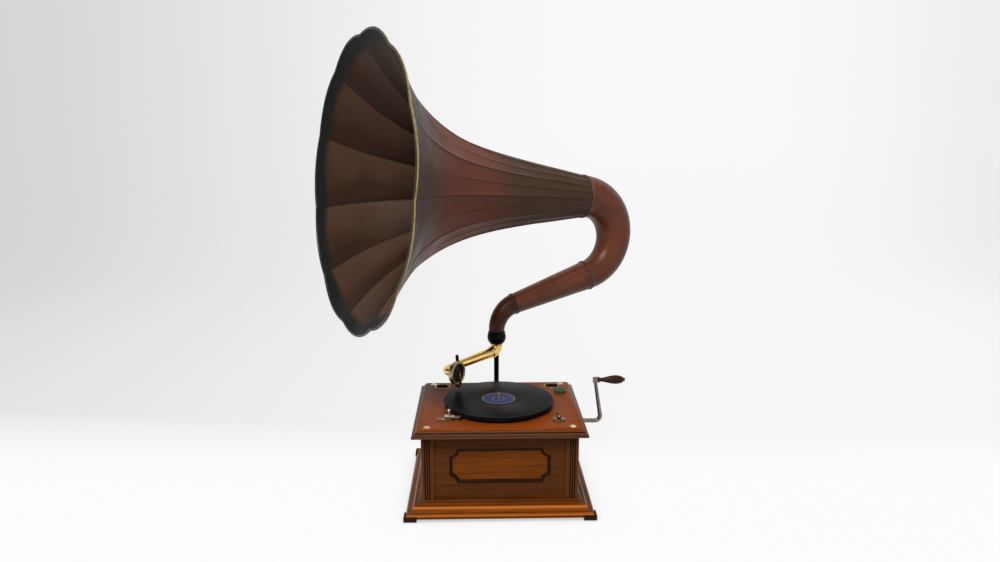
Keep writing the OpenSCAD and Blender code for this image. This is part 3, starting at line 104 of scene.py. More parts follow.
class CabinetSettings(bpy.types.PropertyGroup):
    """Sizes and wood colours of the cabinet."""
    post: length("Post", "Side of a corner post", 26)
    flute: length("Flute radius", "Radius of the flutes on the posts", 2)
    tablet_frame: length("Tablet frame", "Width of the lining round the tablet", 6)
    tablet_scoop: length("Tablet scoop", "Radius of the scooped corners", 16)
    oak_pale: colour("Oak, pale", "Early wood under the varnish", 128, 74, 36)
    oak_mid: colour("Oak, middle", "Main tone of the stained oak", 102, 55, 25)
    oak_dark: colour("Oak, dark", "Late wood and pores", 70, 36, 15)
    deck_pale: colour("Deck, pale", "Light bands of the polished deck", 178, 90, 28)
    deck_mid: colour("Deck, middle", "Main tone of the polished deck", 148, 69, 18)
    deck_dark: colour("Deck, dark", "Dark streaks of the polished deck", 108, 47, 12)
    plinth_pale: colour("Plinth, pale", "Light bands of the plinth", 184, 102, 32)
    plinth_mid: colour("Plinth, middle", "Main tone of the plinth", 154, 78, 18)
    plinth_dark: colour("Plinth, dark", "Dark streaks of the plinth", 116, 56, 12)
    # The pale and dark edge tones are also the base of the painted highlights on the mouldings' high parts
    # and the painted shade in their grooves.
    edge_pale: colour("Edge, pale", "Rubbed high parts of the mouldings", 100, 60, 34)
    edge_mid: colour("Edge, middle", "Main tone of the dark mouldings", 70, 38, 20)
    edge_dark: colour("Edge, dark", "Grooves of the dark mouldings", 42, 21, 10)
    tablet_pale: colour("Tablet, pale", "Light figure of the tablet", 160, 88, 31)
    tablet_mid: colour("Tablet, middle", "Main tone of the tablet", 134, 69, 21)
    tablet_dark: colour("Tablet, dark", "Dark lines of the tablet", 88, 44, 14)


class HornSettings(bpy.types.PropertyGroup):
    """Sizes and paint of the horn."""
    petals: IntProperty(name="Petals", description="Number of petals", default=11, min=3)
    throat: length("Throat radius", "Radius of the bell at the throat", 53)
    mouth: length("Mouth radius", "Radius of the mouth at the petal crests", 331)
    cone: length("Cone rise", "Growth of the radius by the cone", 90)
    reach: length("Bell length", "Length of the bell along its axis", 588)
    notch: length("Notch", "Depth of the notches between petals at the rim", 10)
    sheet: length("Sheet", "Thickness of the horn sheet", 0.6)
    seam: length("Seam height", "Height of the folded seams", 1.2)
    red: colour("Bell red", "Red brown in the middle of the bell", 122, 68, 53)
    umber: colour("Bell umber", "Umber toward the throat", 80, 56, 40)
    slate: colour("Bell slate", "Grey brown toward the rim", 80, 63, 57)
    inner: colour("Bell inside", "Brown inside the bell", 62, 36, 21)
    border: colour("Bell border", "Green black border inside the rim", 18, 23, 21)
    pipe: colour("Pipe brown", "Brown of the pipes and elbows", 120, 63, 37)
    gilt: colour("Gilt", "Gold paint of the rolled rim", 190, 156, 92)


class MetalSettings(bpy.types.PropertyGroup):
    """Colours of the metals."""
    brass: colour("Brass", "Gilt brass of the tone arm", 238, 200, 118)
    brass_dull: colour("Dull brass", "Tarnish in the brass", 168, 122, 56)
    nickel: colour("Nickel", "Bright nickel plate", 206, 200, 190)
    nickel_dull: colour("Dull nickel", "Tarnish in the plate", 120, 110, 96)
    bronze: colour("Bronze", "Dark bronze of the fittings", 142, 122, 92)
    bronze_dull: colour("Dull bronze", "Tarnish in the bronze", 62, 48, 34)
    iron: colour("Iron", "Bare iron of the crank", 136, 124, 116)
    iron_dull: colour("Dull iron", "Brown bloom on the iron", 62, 51, 44)
    enamel: colour("Enamel", "Black enamel of the bracket", 15, 15, 16)


class DiscSettings(bpy.types.PropertyGroup):
    """Colours of the record, the cloth and the handle."""
    shellac: colour("Shellac", "Black of the record", 16, 16, 15)
    label: colour("Label", "Blue of the plain label", 34, 44, 108)
    label_line: colour("Label line", "Pale rings printed on the label", 196, 178, 140)
    felt: colour("Felt", "Green of the mat and the rest", 40, 92, 40)
    grip: colour("Grip", "Dark wood of the handle", 66, 40, 29)


class StageSettings(bpy.types.PropertyGroup):
    """Camera and light."""
    lens: FloatProperty(name="Lens", description="Focal length on a 36 mm sensor", default=29.51, min=1,
                        subtype="DISTANCE_CAMERA")
    eye: FloatVectorProperty(name="Eye", description="Place of the camera", size=3, subtype="TRANSLATION",
                             unit="LENGTH", default=(-0.0428, -1.7853, 0.8364))
    pitch: angle("Pitch", "Tilt of the camera below level", 0.196)
    yaw: angle("Yaw", "Turn of the camera to the right", 0.026)
    floor: colour("Floor", "Pale floor and backdrop", 176, 176, 176)
    key: strength("Key", "Power of the light at the front left", 74)
    overhead: strength("Overhead", "Power of the light above", 14)
    side: strength("Side", "Power of the light at the right", 5)
    sky: strength("Sky", "Strength of the even light", 0.16)


# Sizes in millimetres; the boxes come from the frame

POSTS = box_mm("corner_posts")
BOARD = box_mm("motor_board")
PLINTH = box_mm("plinth_moulding")
EDGE = box_mm("top_moulding")
TABLET = box_mm("tablet_moulding")
PANEL = box_mm("front_panel")
DISC = box_mm("record")
LABEL = box_mm("record_label")
PLATTER = box_mm("platter")
MAT = box_mm("turntable_felt")
REST = box_mm("soundbox_rest")
SPINDLE_Y = (DISC[0].y + DISC[1].y) / 2
SPINDLE_BORE, HUB_R, HUB_BORE, SKIRT_Z = 3.65, 10.5, 4.55, 198.0

# How far the brake's pad stands from the platter, the gap that merges and the angle of a sharp edge
PAD_REACH, MERGE, SHARP = 11.5, 1e-3, 32.0


def turn(axis, degrees):
    return Matrix.Rotation(math.radians(degrees), 4, axis)


def shift(x, y, z):
    return Matrix.Translation((x, y, z))


def heading(degrees):
    """Unit vector in the horn's plane at an angle above its x axis."""
    a = math.radians(degrees)
    return Vector((math.cos(a), 0, math.sin(a)))


# Tone arm and soundbox

PIVOT_Y, ARM_Z = 184.0, 269.0
ARM_LEN, ARM_DROOP, CROOK_TURN, BOX_REACH = 166.0, 6.7, 108.0, 44.0
BOX_R, BOX_DEPTH = 27.0, 12.0
STEM_R, ELBOW_R, SLEEVE_R, ARM_WALL, RING = 12.0, 14.0, 9.25, 1.2, 5.0
STEM_BEND, CROOK_BEND, SLEEVE = 15.68, 13.0, 34.0
STEM_TAN = STEM_BEND * math.tan(math.radians(90 - ARM_DROOP) / 2)
CROOK_TAN = CROOK_BEND * math.tan(math.radians(CROOK_TURN) / 2)
SLEEVE_X = ARM_LEN - CROOK_TAN - SLEEVE
ARM = shift(0, PIVOT_Y, ARM_Z) @ turn("Z", 218.8)
TUBE = ARM @ turn("Y", ARM_DROOP)
BOX = TUBE @ shift(ARM_LEN, 0, 0) @ turn("Z", CROOK_TURN) @ shift(BOX_REACH, 0, 0) @ turn("Y", 90)

# Horn

HORN_RISE, PIPE_RISE, JOINT = 5.0, 14.0, 8.0
NECK_Z, NECK_R, NECK_BEND = 320.0, 19.0, 64.0
PIPE_LEN, PIPE_R, PIPE_R2, ELBOW_BEND, THROAT_R = 218.0, 37.0, 25.0, 103.5, 53.0
NECK_SWEEP = 90 - PIPE_RISE
HORN = shift(0, PIVOT_Y, 0) @ turn("Z", 206.7)
NECK_END = Vector((-NECK_BEND * (1 - math.cos(math.radians(NECK_SWEEP))), 0,
                   NECK_Z + 1 + NECK_BEND * math.sin(math.radians(NECK_SWEEP))))
BACK = heading(180 - PIPE_RISE)
PIPE_END = NECK_END + PIPE_LEN * BACK
ELBOW_C = PIPE_END + JOINT * BACK + ELBOW_BEND * heading(NECK_SWEEP)
THROAT = ELBOW_C + ELBOW_BEND * heading(90 + HORN_RISE) + JOINT * heading(HORN_RISE)
BELL = HORN @ Matrix.Translation(THROAT) @ turn("Y", -HORN_RISE)
PIPE = HORN @ Matrix.Translation(NECK_END) @ turn("Y", PIPE_RISE - 90)


# Shaping

def new_shape():
    """Empty mesh in millimetres whose vertices remember their rank in a ring."""
    bm = bmesh.new()
    bm.verts.layers.int.new("rank")
    return bm


def fresh(bm, mark):
    return list(bm.verts)[mark:]


def put(bm, mark, place):
    """Moves what was made since the mark."""
    if place is not None:
        bmesh.ops.transform(bm, matrix=place, verts=fresh(bm, mark))


def new_verts(made):
    return [g for g in made["geom"] if isinstance(g, bmesh.types.BMVert)]


def lathe(bm, outline, place=None, steps=64, closed=False):
    """Spins an outline of [radius, height] points round z."""
    mark = len(bm.verts)
    verts = [bm.verts.new((r, 0, z)) for r, z in outline]
    edges = [bm.edges.new(pair) for pair in zip(verts, verts[1:])]
    if closed:
        edges.append(bm.edges.new((verts[-1], verts[0])))
    bmesh.ops.spin(bm, geom=verts + edges, cent=(0, 0, 0), axis=(0, 0, 1), angle=math.tau, steps=steps,
                   use_merge=True)
    bmesh.ops.remove_doubles(bm, verts=fresh(bm, mark), dist=MERGE)
    put(bm, mark, place)


def loft(bm, count, stations, point, path_loop=False, caps=False, note=None, place=None):
    """Extrudes a ring of count points through the stations; point(i, k) places point i at station k.

    note(v, i, k) keeps values on the vertices. The end rings are joined by path_loop or filled by caps."""
    mark = len(bm.verts)
    rank = bm.verts.layers.int["rank"]
    ring = []
    for i in range(count):
        v = bm.verts.new(point(i, 0))
        v[rank] = i
        ring.append(v)
        if note:
            note(v, i, 0)
    first = edges = [bm.edges.new((ring[i], ring[(i + 1) % count])) for i in range(count)]
    for k in range(1, stations):
        made = bmesh.ops.extrude_edge_only(bm, edges=edges)
        verts = set(new_verts(made))
        edges = [g for g in made["geom"] if isinstance(g, bmesh.types.BMEdge) and set(g.verts) <= verts]
        for v in verts:
            v.co = point(v[rank], k)
            if note:
                note(v, v[rank], k)
    if path_loop:
        bmesh.ops.bridge_loops(bm, edges=first + edges)
    elif caps:
        bmesh.ops.holes_fill(bm, edges=first + edges, sides=0)
    put(bm, mark, place)


def soften(bm, width, longest=None):
    """Bevels the sharp edges, or only those longer than a length."""
    edges = [e for e in bm.edges if len(e.link_faces) == 2 and e.calc_face_angle(0) > math.radians(SHARP)
             and (longest is None or e.calc_length() > longest)]
    bmesh.ops.bevel(bm, geom=edges, offset=width, offset_type="OFFSET", segments=2, profile=0.5,
                    affect="EDGES", clamp_overlap=True, material=-1)


def arc(centre, radii, start, stop, steps=8):
    """Points of an elliptic arc, angles in degrees."""
    return [(centre[0] + radii[0] * math.cos(math.radians(start + (stop - start) * i / steps)),
             centre[1] + radii[1] * math.sin(math.radians(start + (stop - start) * i / steps)))
            for i in range(steps + 1)]


def edge_light_points(outline, full=40.0, near=2.2):
    """Adds points beside the edges of a closed outline and gives each point its painted highlight or painted
    shade.

    An edge that stands out by the angle full gives 1, and a hollow as sharp gives -1."""
    count = len(outline)
    around = sum(a[0] * b[1] - b[0] * a[1] for a, b in zip(outline, outline[1:] + outline[:1]))
    points, rub = [], []
    for i, p in enumerate(outline):
        before, after = outline[i - 1], outline[(i + 1) % count]
        bend = math.atan2(after[1] - p[1], after[0] - p[0]) - math.atan2(p[1] - before[1], p[0] - before[0])
        bend = math.copysign(1, around) * ((math.degrees(bend) + 180) % 360 - 180)
        points.append(p)
        rub.append(max(-1.0, min(1.0, bend / full)))
        gap = math.dist(p, after)
        if gap > 3 * near:
            for u in (near / gap, 1 - near / gap):
                points.append((p[0] + u * (after[0] - p[0]), p[1] + u * (after[1] - p[1])))
                rub.append(0.0)
    return points, rub


def edge_light_note(bm, rub):
    """Note for a loft that keeps the painted highlight or painted shade of each point of its ring."""
    layer = bm.verts.layers.float.new("rub")

    def note(v, i, k):
        v[layer] = rub[i]

    return note


def cad_shape(node):
    """Merged copy of a CAD node's mesh, in millimetres."""
    bm = bmesh.new()
    bm.from_mesh(frame["nodes"][node].data)
    bmesh.ops.transform(bm, matrix=TO_METRES.inverted(), verts=bm.verts)
    bmesh.ops.remove_doubles(bm, verts=bm.verts, dist=MERGE)
    bmesh.ops.dissolve_limit(bm, angle_limit=math.radians(0.5), verts=bm.verts, edges=bm.edges)
    return bm


def show(name, data):
    """New object in the scene."""
    obj = bpy.data.objects.new(name, data)
    bpy.context.scene.collection.objects.link(obj)
    return obj


def mesh_of(bm, name, finishes):
    """Mesh of a shape that is done with, its faces pointing outwards."""
    bmesh.ops.recalc_face_normals(bm, faces=bm.faces)
    mesh = bpy.data.meshes.new(name)
    bm.to_mesh(mesh)
    bm.free()
    for finish in finishes:
        mesh.materials.append(finish)
    mesh.shade_smooth()
    return mesh


def piece(bm, name, finishes, node, sharp=SHARP):
    """Makes the shape a piece that rides with its node's body and stands for it."""
    bmesh.ops.dissolve_degenerate(bm, dist=MERGE, edges=bm.edges)
    bmesh.ops.transform(bm, matrix=TO_METRES, verts=bm.verts)
    rank = bm.verts.layers.int.get("rank")
    if rank:
        bm.verts.layers.int.remove(rank)
    mesh = mesh_of(bm, name, finishes)
    mesh.set_sharp_from_angle(angle=math.radians(sharp))
    obj = show(name, mesh)
    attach(obj, BODY_OF[node])
    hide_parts(node)
    return obj


def from_cad(node, name, finish, bevel=0.0, sharp=SHARP, longest=None):
    """Piece with the CAD node's own shape, its edges softened."""
    bm = cad_shape(node)
    if bevel:
        soften(bm, bevel, longest)
    return piece(bm, name, [finish], node, sharp)


def turned(node, name, finish, outline, place, steps=64, closed=True, sharp=SHARP):
    """Piece turned from an outline round the z axis of its place."""
    bm = new_shape()
    lathe(bm, outline, place, steps, closed)
    return piece(bm, name, [finish], node, sharp)


def bend(centre, start, ahead, radius, degrees, steps, r, r2=None):
    """Stations of a bend in a pipe; start points from its centre to the first, ahead along the pipe there."""
    stations = []
    for i in range(steps + 1):
        a = math.radians(degrees) * i / steps
        stations.append((centre + radius * (math.cos(a) * start + math.sin(a) * ahead),
                         math.cos(a) * ahead - math.sin(a) * start, r + ((r2 or r) - r) * i / steps))
    return stations


def piped(node, name, finish, path, normal, place, sides, wall=0.0, bore=None):
    """Round pipe through [centre, direction, radius] stations of a flat path; normal is square to its plane.

    It has a wall of one thickness, or one bore all along."""
    stations = path + [(c, d, bore or r - wall) for c, d, r in reversed(path)]

    def point(i, k):
        c, d, r = stations[k]
        t = math.tau * i / sides
        return c + r * (math.cos(t) * normal + math.sin(t) * d.cross(normal))

    bm = new_shape()
    loft(bm, sides, len(stations), point, path_loop=True, place=place)
    return piece(bm, name, [finish], node)


def dress(node, finish):
    """Gives a CAD node that stays in view a finish."""
    obj = frame["nodes"][node]
    if not obj.material_slots:
        obj.data.materials.append(finish)
    for row in obj.material_slots:
        row.material = finish


# Finishes

class Nodes:
    """A shader tree, with a short call for each node that the finishes use."""

    def __init__(self, tree):
        self.tree = tree

    def fill(self, sockets, values):
        """Sets sockets by name or number; a value that is itself a socket is linked."""
        for key, value in values.items():
            socket = sockets[key]
            if isinstance(value, bpy.types.NodeSocket):
                self.tree.links.new(value, socket)
            else:
                socket.default_value = (*value, 1.0) if socket.type == "RGBA" else value

    def add(self, kind, values=None, **props):
        """Adds a node and returns its outputs."""
        node = self.tree.nodes.new("ShaderNode" + kind)
        for key, value in props.items():
            setattr(node, key, value)
        self.fill(node.inputs, values or {})
        return node.outputs

    def calc(self, how, first, second):
        return self.add("Math", {0: first, 1: second}, operation=how)[0]

    def plus(self, first, second):
        return self.calc("ADD", first, second)

    def less(self, first, second):
        return self.calc("SUBTRACT", first, second)

    def times(self, first, second):
        return self.calc("MULTIPLY", first, second)

    def most(self, first, second):
        return self.calc("MAXIMUM", first, second)

    def weigh(self, *parts):
        """Sum of [value, weight] pairs."""
        total = None
        for value, weight in parts:
            part = self.times(value, weight)
            total = part if total is None else self.plus(total, part)
        return total

    def ease(self, value, low, high, start=0.0, stop=1.0, how="SMOOTHSTEP"):
        """Goes from start to stop as the value goes from low to high."""
        return self.add("MapRange", {"Value": value, "From Min": low, "From Max": high, "To Min": start,
                                     "To Max": stop}, interpolation_type=how)[0]

    def mix(self, share, first, second, mode="MIX"):
        return self.add("Mix", {0: share, 6: first, 7: second}, data_type="RGBA", blend_type=mode)[2]

    def grey(self, value):
        return self.add("CombineColor", {0: value, 1: value, 2: value})[0]

    def stretch(self, vector, scale):
        return self.add("VectorMath", {0: vector, 1: scale}, operation="MULTIPLY")[0]

    def noise(self, vector, scale=1.0, detail=4.0, rough=0.55, twist=0.0):
        return self.add("TexNoise", {"Vector": vector, "Scale": scale, "Detail": detail, "Roughness": rough,
                                     "Distortion": twist})[0]

    def drift(self, value, cloud, amount):
        """Moves a value up and down with a cloud."""
        return self.plus(value, self.times(self.less(cloud, 0.5), amount))

    def reading(self, name):
        """What the mesh keeps under a name at its vertices."""
        return self.add("Attribute", attribute_name=name)["Fac"]

    def seen(self):
        """1 for what the camera sees itself or in metal and glass."""
        rays = self.add("LightPath")
        return self.most(self.most(rays["Is Camera Ray"], rays["Is Glossy Ray"]), rays["Is Transmission Ray"])

    def blend(self, share, first, second, end):
        """Mixes two shaders into the surface of the tree's output."""
        both = self.add("MixShader", {0: share, 1: first, 2: second})
        self.fill(self.tree.nodes[end].inputs, {"Surface": both[0]})


class Finish(Nodes):
    """New material; numbers and colours go on its Principled shader's own sockets."""

    def __init__(self, name, **sockets):
        self.material = bpy.data.materials.new(name)
        self.material.use_nodes = True
        super().__init__(self.material.node_tree)
        self.shader = self.tree.nodes["Principled BSDF"]
        self.coords = self.add("TexCoord")["Object"]
        self.set(**sockets)

    def set(self, **sockets):
        """Sets or links the shader's sockets, whose spaces are written as underscores."""
        self.fill(self.shader.inputs, {key.replace("_", " "): value for key, value in sockets.items()})
        return self.material

    def bump(self, height, strength, distance):
        self.set(Normal=self.add("Bump", {"Strength": strength, "Distance": distance, "Height": height})[0])


def new_group(name, **inputs):
    """Empty node group with these inputs that puts out a colour, a roughness and a height."""
    group = bpy.data.node_groups.new(name, "ShaderNodeTree")
    outputs = {"Color": "Color", "Roughness": "Float", "Height": "Float"}
    for way, sockets in (("INPUT", inputs), ("OUTPUT", outputs)):
        for label, kind in sockets.items():
            group.interface.new_socket(name=label, in_out=way, socket_type="NodeSocket" + kind)
    return Nodes(group), group.nodes.new("NodeGroupInput").outputs, group.nodes.new("NodeGroupOutput").inputs


def grain_group():
    """Straight-grained varnished oak: bands, streaks and pores that run along x."""
    name = "Oak grain"
    if name in bpy.data.node_groups:
        return bpy.data.node_groups[name]
    g, given, out = new_group(name, Vector="Vector", Pale="Color", Middle="Color", Dark="Color")
    place = given["Vector"]
    bands = g.noise(g.stretch(place, (1.1, 20, 20)), detail=5, twist=0.6)
    streaks = g.noise(g.stretch(place, (4.5, 130, 130)), detail=4)
    fine = g.noise(g.stretch(place, (14, 520, 520)), detail=3)
    pores = g.ease(g.noise(g.stretch(place, (55, 1500, 1500)), detail=2), 0.58, 0.7)
    tone = g.weigh((bands, 0.26), (streaks, 0.3), (fine, 0.44))
    body = g.mix(g.ease(tone, 0.33, 0.5), given["Dark"], given["Middle"])
    body = g.mix(g.ease(tone, 0.49, 0.68), body, given["Pale"])
    patch = g.grey(g.ease(g.noise(place, 7.0, 2), 0.3, 0.75, 0.88, 1.06))
    body = g.mix(1.0, body, patch, "MULTIPLY")
    g.fill(out, {"Color": g.mix(g.times(pores, 0.4), body, given["Dark"]),
                 "Roughness": g.ease(fine, 0.3, 0.75, 0.3, 0.44),
                 "Height": g.less(g.times(fine, 0.4), pores)})
    return g.tree


def patina_group():
    """Metal or paint with cloudy tarnish and fine scuffs."""
    name = "Patina"
    if name in bpy.data.node_groups:
        return bpy.data.node_groups[name]
    g, given, out = new_group(name, Vector="Vector", Clean="Color", Tarnish="Color", Scale="Float",
                              Amount="Float", Smooth="Float", Rough="Float")
    cloud = g.noise(given["Vector"], given["Scale"], 5, 0.6, 0.4)
    spots = g.noise(given["Vector"], g.times(given["Scale"], 6.5), 3)
    mask = g.times(g.ease(g.weigh((cloud, 0.75), (spots, 0.25)), 0.42, 0.66), given["Amount"])
    g.fill(out, {"Color": g.mix(mask, given["Clean"], given["Tarnish"]),
                 "Roughness": g.ease(g.plus(mask, g.times(spots, 0.3)), 0.1, 0.9, given["Smooth"],
                                     given["Rough"], "LINEAR"),
                 "Height": spots})
    return g.tree


# Warm tint of the sheen on varnished wood
VARNISH = (1.0, 0.62, 0.34)
GRAIN_TURN = {"x": (0, 0, 0), "y": (0, 0, math.pi / 2), "z": (0, math.pi / 2, 0)}


def tones_of(wood):
    """Pale, middle and dark tone of one of the cabinet's woods."""
    c = bpy.context.scene.gramophone_cabinet
    return [getattr(c, f"{wood}_{tone}") for tone in ("pale", "mid", "dark")]


def oak(name, tones, axis, seed, coat=0.04, shine=0.1, rub=False):
    """Varnished oak whose grain runs along an axis; with the flag on, edges get painted highlights and
    hollows get painted shade.
    """
    if name in bpy.data.materials:
        return bpy.data.materials[name]
    pale, middle, dark = tones
    p = Finish(name, Coat_Weight=coat, Coat_Roughness=0.22, Specular_IOR_Level=shine, Specular_Tint=VARNISH)
    placed = p.add("Mapping", {"Vector": p.coords, "Rotation": GRAIN_TURN[axis],
                               "Location": (seed * 0.37, seed * 0.53, seed * 0.71)})[0]
    grain = p.add("Group", {"Vector": placed, "Pale": pale, "Middle": middle, "Dark": dark},
                  node_tree=grain_group())
    tone = grain["Color"]
    if rub:
        level = p.reading("rub")
        # Painted shade in the hollows, mixed toward a quarter of the dark tone.
        tone = p.mix(p.ease(level, -0.5, -0.05, 0.85, 0.0), tone, shade(dark, 0.25))
        # Painted highlight on the edges, paler than the pale tone.
        tone = p.mix(p.ease(level, 0.1, 0.9, 0.0, 0.8), tone, [min(1, 1.55 * x + 0.02) for x in pale])
    p.bump(grain["Height"], 0.25, 0.0004)
    return p.set(Base_Color=tone, Roughness=grain["Roughness"])


def body_oak(axis, seed, rub=False):
    return oak(f"Oak {axis} {seed}", tones_of("oak"), axis, seed, rub=rub)


def moulding_oaks(label, wood, seed, sides=1.0):
    """Oak with painted edge highlights and shade for the front of a moulding, and a copy darkened by the
    share sides, as painted shade, for its sides.
    """
    tones = tones_of(wood)
    return [oak(f"{label} x {seed}", tones, "x", seed, rub=True),
            oak(f"{label} y {seed + 1}", [shade(tone, sides) for tone in tones], "y", seed + 1, rub=True)]


GLOSS = {
    "Black enamel": {"Specular_IOR_Level": 0.06},
    "Pipe lacquer": {"Specular_IOR_Level": 0.22, "Coat_Weight": 0.06, "Coat_Roughness": 0.25},
    "Neck lacquer": {"Specular_IOR_Level": 0.2},
    "Mica": {"Specular_IOR_Level": 0.12},
}


def worn(name):
    """Metal, paint, leather or rubber with its patina.

    A row has the clean and the tarnished colour, how metallic it is, scale and amount of the tarnish, the
    roughness where clean and where tarnished, and the relief."""
    if name in bpy.data.materials:
        return bpy.data.materials[name]
    m, brown = bpy.context.scene.gramophone_metal, bpy.context.scene.gramophone_horn.pipe
    clean, tarnish, metallic, scale, amount, smooth, rough, relief = {
        "Gilt brass": (m.brass, m.brass_dull, 1.0, 45, 0.35, 0.07, 0.2, 0.006),
        "Nickel plate": (m.nickel, m.nickel_dull, 1.0, 90, 0.5, 0.12, 0.32, 0.02),
        "Crank iron": (m.iron, m.iron_dull, 1.0, 160, 0.4, 0.24, 0.4, 0.03),
        "Fitting bronze": (m.bronze, m.bronze_dull, 1.0, 80, 0.6, 0.2, 0.42, 0.02),
        "Screw brass": (srgb(250, 230, 190), m.brass, 0.85, 120, 0.4, 0.34, 0.5, 0.02),
        "Soundbox bronze": (srgb(178, 162, 134), srgb(120, 102, 78), 0.9, 30, 0.5, 0.3, 0.45, 0.005),
        "Black enamel": (m.enamel, srgb(34, 31, 29), 0.0, 55, 0.4, 0.3, 0.5, 0.04),
        "Pipe lacquer": (brown, srgb(80, 42, 26), 0.0, 12, 0.7, 0.3, 0.46, 0.03),
        # The neck's lacquer is the pipe brown darkened to 0.55 as painted shade under the pipe.
        "Neck lacquer": (shade(brown, 0.55), srgb(44, 23, 14), 0.0, 20, 0.7, 0.3, 0.46, 0.03),
        "Collar lacquer": (shade(brown, 0.75), srgb(50, 28, 18), 0.0, 30, 0.6, 0.35, 0.5, 0.08),
        "Mica": (srgb(52, 33, 25), srgb(34, 22, 18), 0.0, 60, 0.6, 0.4, 0.6, 0.01),
        "Gasket rubber": (srgb(44, 26, 20), srgb(26, 18, 15), 0.0, 160, 0.6, 0.55, 0.75, 0.08),
        "Pad leather": (srgb(96, 58, 34), srgb(60, 36, 22), 0.0, 200, 0.6, 0.7, 0.9, 0.2),
    }[name]
    p = Finish(name, Metallic=metallic, **GLOSS.get(name, {}))
    patina = p.add("Group", {"Vector": p.coords, "Clean": clean, "Tarnish": tarnish, "Scale": scale,
                             "Amount": amount, "Smooth": smooth, "Rough": rough}, node_tree=patina_group())
    p.bump(patina["Height"], relief, 0.0006)
    return p.set(Base_Color=patina["Color"], Roughness=patina["Roughness"])


def baize():
    """Green felt with a short nap."""
    name = "Green felt"
    if name in bpy.data.materials:
        return bpy.data.materials[name]
    green = bpy.context.scene.gramophone_disc.felt
    p = Finish(name, Roughness=0.95, Sheen_Weight=0.5, Sheen_Roughness=0.4)
    nap, cloud = p.noise(p.coords, 1400, 4, 0.7), p.noise(p.coords, 40, 3)
    p.bump(nap, 0.6, 0.0008)
    light = p.ease(p.weigh((nap, 0.6), (cloud, 0.4)), 0.35, 0.65)
    return p.set(Base_Color=p.mix(light, shade(green, 0.45), green))


# Cabinet

def mitred_ring(half_w, half_d, section, clean, crests):
    """Moulding with mitred corners; section is a closed outline of [offset, height] points.

    Heights outside the given band get painted shade, and painted highlight lines run at the given crest
    heights."""
    corners = [(-1, -1), (1, -1), (1, 1), (-1, 1)]
    section, rub = edge_light_points(section)
    # Points at the crests get a full painted highlight; points outside the band get painted shade.
    for i, (_, z) in enumerate(section):
        if any(abs(z - crest) < 0.7 for crest in crests):
            rub[i] = 1.0
        elif not clean[0] < z < clean[1]:
            rub[i] = min(rub[i], -0.3)

    def point(i, k):
        off, z = section[i]
        sx, sy = corners[k]
        return sx * (half_w + off), sy * (half_d + off), z

    bm = new_shape()
    loft(bm, len(section), len(corners), point, path_loop=True, note=edge_light_note(bm, rub))
    for face in bm.faces:
        middle = face.calc_center_median()
        face.material_index = int(abs(middle.x) - half_w > abs(middle.y) - half_d)
    return bm


class GRAMOPHONE_OT_mouldings(bpy.types.Operator):
    """Build the plinth and the moulding round the deck"""
    bl_idname = "gramophone.mouldings"
    bl_label = "Mouldings"

    def execute(self, context):
        half_w, half_d = POSTS[1].x, POSTS[1].y
        low, top, w = PLINTH[0].z, PLINTH[1].z, PLINTH[1].x - half_w
        h = top - low
        fillet, cove = 0.16 * w, (0.33 * w, 0.26 * h)
        section = [(0, low), (w - 0.8, low), (w, low + 0.8)]
        section += arc((0.735 * w, low + 0.09 * h), (0.265 * w, 0.215 * h), 0, 90)
        section += [(u * w, low + v * h) for u, v in (
            (0.69, 0.305), (0.675, 0.33), (0.665, 0.36), (0.6, 0.5), (0.52, 0.645), (0.505, 0.675))]
        section += arc((fillet + cove[0], top - 0.05 * h), cove, 270, 180)
        section += [(fillet, top - 0.6), (fillet - 0.6, top), (0, top)]
        # The plinth gets painted shade at its top cove and bottom roll, and painted highlight lines at its
        # two rolls.
        bm = mitred_ring(half_w, half_d, section, clean=(low + 0.18 * h, low + 0.7 * h),
                         crests=(low + 0.242 * h, low + 0.66 * h))
        # The plinth's sides take the same oak at half the tone, as painted shade.
        oaks = moulding_oaks("Plinth oak", "plinth", 3, sides=0.5)
        piece(bm, "plinth_profile", oaks, "plinth_moulding", 40)

        half_w, half_d = BOARD[1].x, BOARD[1].y
        low, top, w = EDGE[0].z, EDGE[1].z, EDGE[1].x - half_w
        h = top - low
        section = [(0, low), (0.93 * w, low), (w, low + 0.09 * h)]
        section += arc((0.43 * w, low + 0.22 * h), (0.57 * w, 0.38 * h), 0, 90)
        section += [(0.43 * w, low + 0.64 * h), (0.35 * w, low + 0.66 * h)]
        section += arc((0.08 * w, top - 0.26 * h), (0.27 * w, 0.26 * h), 0, 90) + [(0, top)]
        # The lid moulding gets painted shade along its bottom, and painted highlight lines at its beads and
        # top edge.
        bm = mitred_ring(half_w, half_d, section, clean=(low + 0.05 * h, top),
                         crests=(low + 0.22 * h, low + 0.6 * h, top))
        piece(bm, "lid_moulding", moulding_oaks("Edge oak", "edge", 5), "top_moulding", 40)
        return {"FINISHED"}


